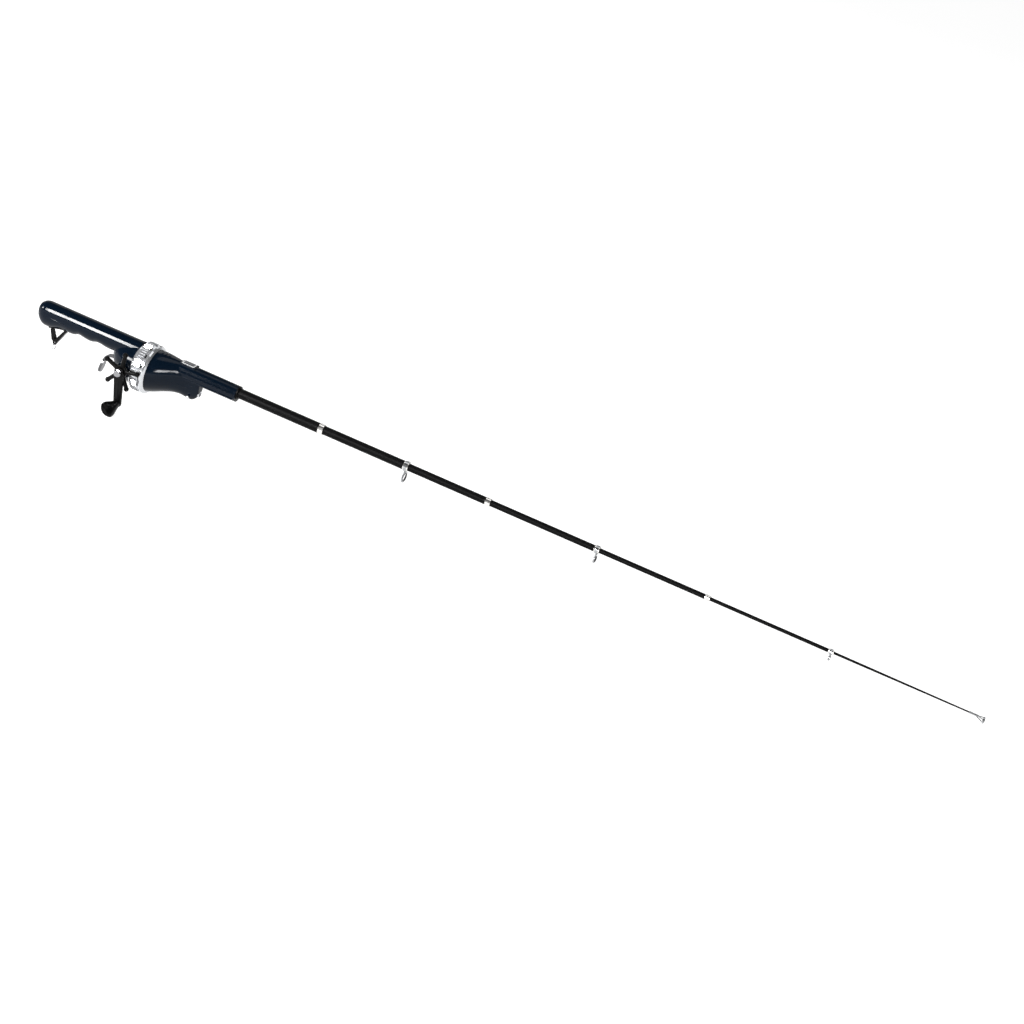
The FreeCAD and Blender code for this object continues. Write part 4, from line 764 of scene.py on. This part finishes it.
@dataclass
class Crank:
    """Crank, star wheel and knob on the side of the reel."""

    rib_span: tuple[float, float] = (0.20, 0.84)
    rib_half_width: float = 1.5 * MM
    rib_rise: float = 0.7 * MM
    star_arms: int = 5
    star_turn: float = 13.0
    sleeve_span: tuple[float, float] = (6.5 * MM, 24.5 * MM)
    sleeve_radii: tuple[float, float] = (2.95 * MM, 2.65 * MM)
    sleeve_sides: int = 28

    def dress(self) -> None:
        """Give the crank's parts their finishes."""
        for node, stock in (("crank_shaft", Stock.STEEL), ("drag_washers", Stock.STEEL),
                            ("star_drag", Stock.BLACK_MOULDING), ("crank_arm", Stock.BLACK_METAL),
                            ("crank_nut", Stock.DARK_NICKEL), ("knob_axle", Stock.BLACK_METAL),
                            ("crank_knob", Stock.KNOB)):
            dress(node, stock)

    def build_star_sleeves(self) -> None:
        """Thicken the star wheel's arms with a tapered sleeve on each."""
        axis = sum(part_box("crank_shaft"), Vector()) / 2
        wheel = sum(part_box("star_drag"), Vector()) / 2
        root, end = self.sleeve_span
        built = bmesh.new()
        for index in range(self.star_arms):
            angle = math.radians(self.star_turn + 360.0 * index / self.star_arms)
            outward = Vector((math.cos(angle), 0.0, math.sin(angle)))
            place = Vector((axis.x, wheel.y, axis.z)) + outward * (root + end) / 2
            turn = outward.to_track_quat("Z", "Y").to_matrix().to_4x4()
            bmesh.ops.create_cone(built, cap_ends=True, segments=self.sleeve_sides,
                                  radius1=self.sleeve_radii[0], radius2=self.sleeve_radii[1],
                                  depth=end - root, matrix=Matrix.Translation(place) @ turn)
        make_piece("star_arm_sleeves", built, Stock.BLACK_MOULDING, "star_wheel")

    def build_arm_rib(self) -> None:
        """Raise a stiffening rib along the outside of the crank arm."""
        hub, end = (sum(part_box(node), Vector()) / 2 for node in ("crank_nut", "knob_axle"))
        route = tuple((hub.x + (end.x - hub.x) * share, hub.z + (end.z - hub.z) * share)
                      for share in self.rib_span)
        built = bmesh.new()
        raised_bead(built, surface_of("crank_arm"), route, Vector((0.0, -1.0, 0.0)),
                    self.rib_half_width, self.rib_rise)
        make_piece("arm_rib", built, Stock.BLACK_METAL, "crank")


@dataclass
class Trigger:
    """Finger lever with its pin, spring and slider."""

    def dress(self) -> None:
        """Give the trigger's parts their finishes."""
        for node, stock in (("trigger", Stock.TRIGGER), ("trigger_pin", Stock.STEEL),
                            ("trigger_spring", Stock.STEEL), ("release_slider", Stock.ACETAL)):
            dress(node, stock)


@dataclass
class Lanyard:
    """Bracket and wire ring under the butt."""

    def dress(self) -> None:
        """Give the lanyard fittings their finishes."""
        for node, stock in (("lanyard_plate", Stock.BLACK_METAL), ("lanyard_bracket", Stock.BLACK_METAL),
                            ("lanyard_ring", Stock.PLATING)):
            dress(node, stock)


@dataclass
class Rod:
    """Seven blanks with their ferrules, line guides and tip-top."""

    blanks: int = 7
    guides: tuple[str, ...] = ("a", "b", "c")

    def dress(self) -> None:
        """Give the rod's parts their finishes."""
        for index in range(1, self.blanks + 1):
            dress(f"rod_section_{index}", Stock.BLANK)
        for index in range(1, self.blanks):
            dress(f"ferrule_{index}", Stock.FERRULE)
        for letter in self.guides:
            dress("guide_frame_" + letter, Stock.GUIDE_WIRE)
            dress("guide_ring_" + letter, Stock.CERAMIC)
        dress("tip_top", Stock.GUIDE_WIRE)
        dress("tip_ring", Stock.CERAMIC)


# ---------------------------------------------------------------- studio
@dataclass(frozen=True)
class SoftBox:
    """One rectangular lamp with its face turned to a point."""

    name: str
    place: tuple[float, float, float]
    aim: tuple[float, float, float]
    size: tuple[float, float]
    power: float

    def build(self) -> None:
        """Hang the lamp."""
        lamp = bpy.data.lights.new(self.name, "AREA")
        lamp.shape = "RECTANGLE"
        lamp.size, lamp.size_y = self.size
        lamp.energy = self.power
        holder = bpy.data.objects.new(self.name, lamp)
        holder.location = self.place
        down = Vector(self.aim) - Vector(self.place)
        side = Vector((1.0, 0.0, 0.0))
        back = -down.normalized()
        side = (side - back * side.dot(back)).normalized()
        upward = back.cross(side)
        holder.rotation_euler = Matrix((side, upward, back)).transposed().to_euler()
        bpy.context.scene.collection.objects.link(holder)


@dataclass
class Studio:
    """Pale floor, soft lamps, dim surround and camera."""

    floor_half: float = 9.0
    floor_drop: float = 0.6 * MM
    floor_tones: tuple[Colour, Colour] = ((0.36, 0.36, 0.36), (0.38, 0.38, 0.38))
    floor_glow: float = 0.86
    horizon: tuple[tuple[float, float], ...] = ((0.40, 0.80), (0.51, 0.80), (0.57, 0.16), (1.0, 0.12))
    azimuth: float = 17.75
    elevation: float = 28.0
    roll: float = 15.05
    distance: float = 4.0
    target: tuple[float, float, float] = (0.6762, 0.0, 0.0004)
    lens: float = 115.78
    sensor: float = 36.0

    def build_floor(self) -> None:
        """Lay a plain pale floor just under the lowest part."""
        height = CAD_BOX[0].z - self.floor_drop
        built = bmesh.new()
        corners = ((-1, -1), (1, -1), (1, 1), (-1, 1))
        built.faces.new([built.verts.new((x * self.floor_half, y * self.floor_half, height))
                         for x, y in corners])
        data = bpy.data.meshes.new("studio_floor")
        built.to_mesh(data)
        built.free()
        material = bpy.data.materials.new("studio_floor_paint")
        material.use_nodes = True
        graph = Graph(material.node_tree)
        tone = graph.mix(graph.noise(3.0, 2.0), *self.floor_tones)
        shader = graph.node("ShaderNodeBsdfPrincipled", inputs={
            "Base Color": tone, "Roughness": 0.9, "Specular IOR Level": 0.1,
            "Emission Color": (1.0, 1.0, 1.0, 1.0), "Emission Strength": self.floor_glow})
        graph.node("ShaderNodeOutputMaterial", inputs={"Surface": shader})
        data.materials.append(material)
        floor = bpy.data.objects.new("studio_floor", data)
        bpy.context.scene.collection.objects.link(floor)

    def build_surround(self) -> None:
        """Light the scene from a dim sky with a bright horizon."""
        world = bpy.data.worlds.new("studio_surround")
        world.use_nodes = True
        bpy.context.scene.world = world
        graph = Graph(world.node_tree)
        direction = graph.node("ShaderNodeTexCoord", output="Generated")
        height = graph.node("ShaderNodeSeparateXYZ", inputs={0: direction}, output="Z")
        tone = graph.ramp(height * 0.5 + 0.5, *self.horizon)
        light = graph.node("ShaderNodeBackground", inputs={"Color": tone, "Strength": 1.0})
        graph.node("ShaderNodeOutputWorld", inputs={"Surface": light})
        bpy.context.scene.view_settings.view_transform = "Standard"

    def build_lamps(self) -> None:
        """Hang the lamps: strip, panel and card on the crank side, a card at the back, a box on top."""
        for lamp in (
            SoftBox("upright_strip", (-0.81, -1.78, 1.0), (0.07, 0.0, 0.0), (0.16, 1.10), 74.0),
            SoftBox("side_panel", (-1.51, -1.04, 0.66), (0.05, -0.02, 0.0), (0.50, 0.36), 44.0),
            SoftBox("near_card", (0.571, -1.896, 0.576), (0.187, -0.022, -0.0056), (0.42, 0.42), 28.0),
            SoftBox("card_at_back", (-0.1, 1.7, 1.0), (0.4, 0.0, 0.0), (4.4, 0.9), 14.0),
            SoftBox("top_box", (0.6, 0.3, 2.3), (0.5, 0.0, 0.0), (2.6, 1.2), 16.0),
        ):
            lamp.build()

    def build_camera(self) -> None:
        """Set the camera up."""
        azimuth, elevation, roll = (math.radians(a) for a in (self.azimuth, self.elevation, self.roll))
        back = Vector((math.sin(azimuth) * math.cos(elevation), -math.cos(azimuth) * math.cos(elevation),
                       math.sin(elevation)))
        level = Vector((math.cos(azimuth), math.sin(azimuth), 0.0))
        upright = back.cross(level)
        right = math.cos(roll) * level + math.sin(roll) * upright
        upward = -math.sin(roll) * level + math.cos(roll) * upright
        data = bpy.data.cameras.new("studio_camera")
        data.lens, data.sensor_width = self.lens, self.sensor
        data.clip_start, data.clip_end = 0.1, 100.0
        camera = bpy.data.objects.new("studio_camera", data)
        camera.matrix_world = Matrix.Translation(Vector(self.target) + back * self.distance) @ Matrix(
            (right, upward, back)).transposed().to_4x4()
        bpy.context.scene.collection.objects.link(camera)
        bpy.context.scene.camera = camera


def main() -> None:
    """Dress and build every sub-assembly, then the studio."""
    logging.basicConfig(level=logging.INFO, format="%(name)s: %(message)s")
    handle, covers, crank = Handle(), ReelCovers(), Crank()
    for assembly in (handle, covers, ReelWorks(), crank, Trigger(), Lanyard(), Rod()):
        LOG.info("%s", type(assembly).__name__)
        assembly.dress()
    handle.build_grip_beads()
    covers.build_badge()
    covers.build_cheek_creases()
    crank.build_arm_rib()
    crank.build_star_sleeves()
    studio = Studio()
    studio.build_floor()
    studio.build_surround()
    studio.build_lamps()
    studio.build_camera()


if __name__ == "__main__":
    main()
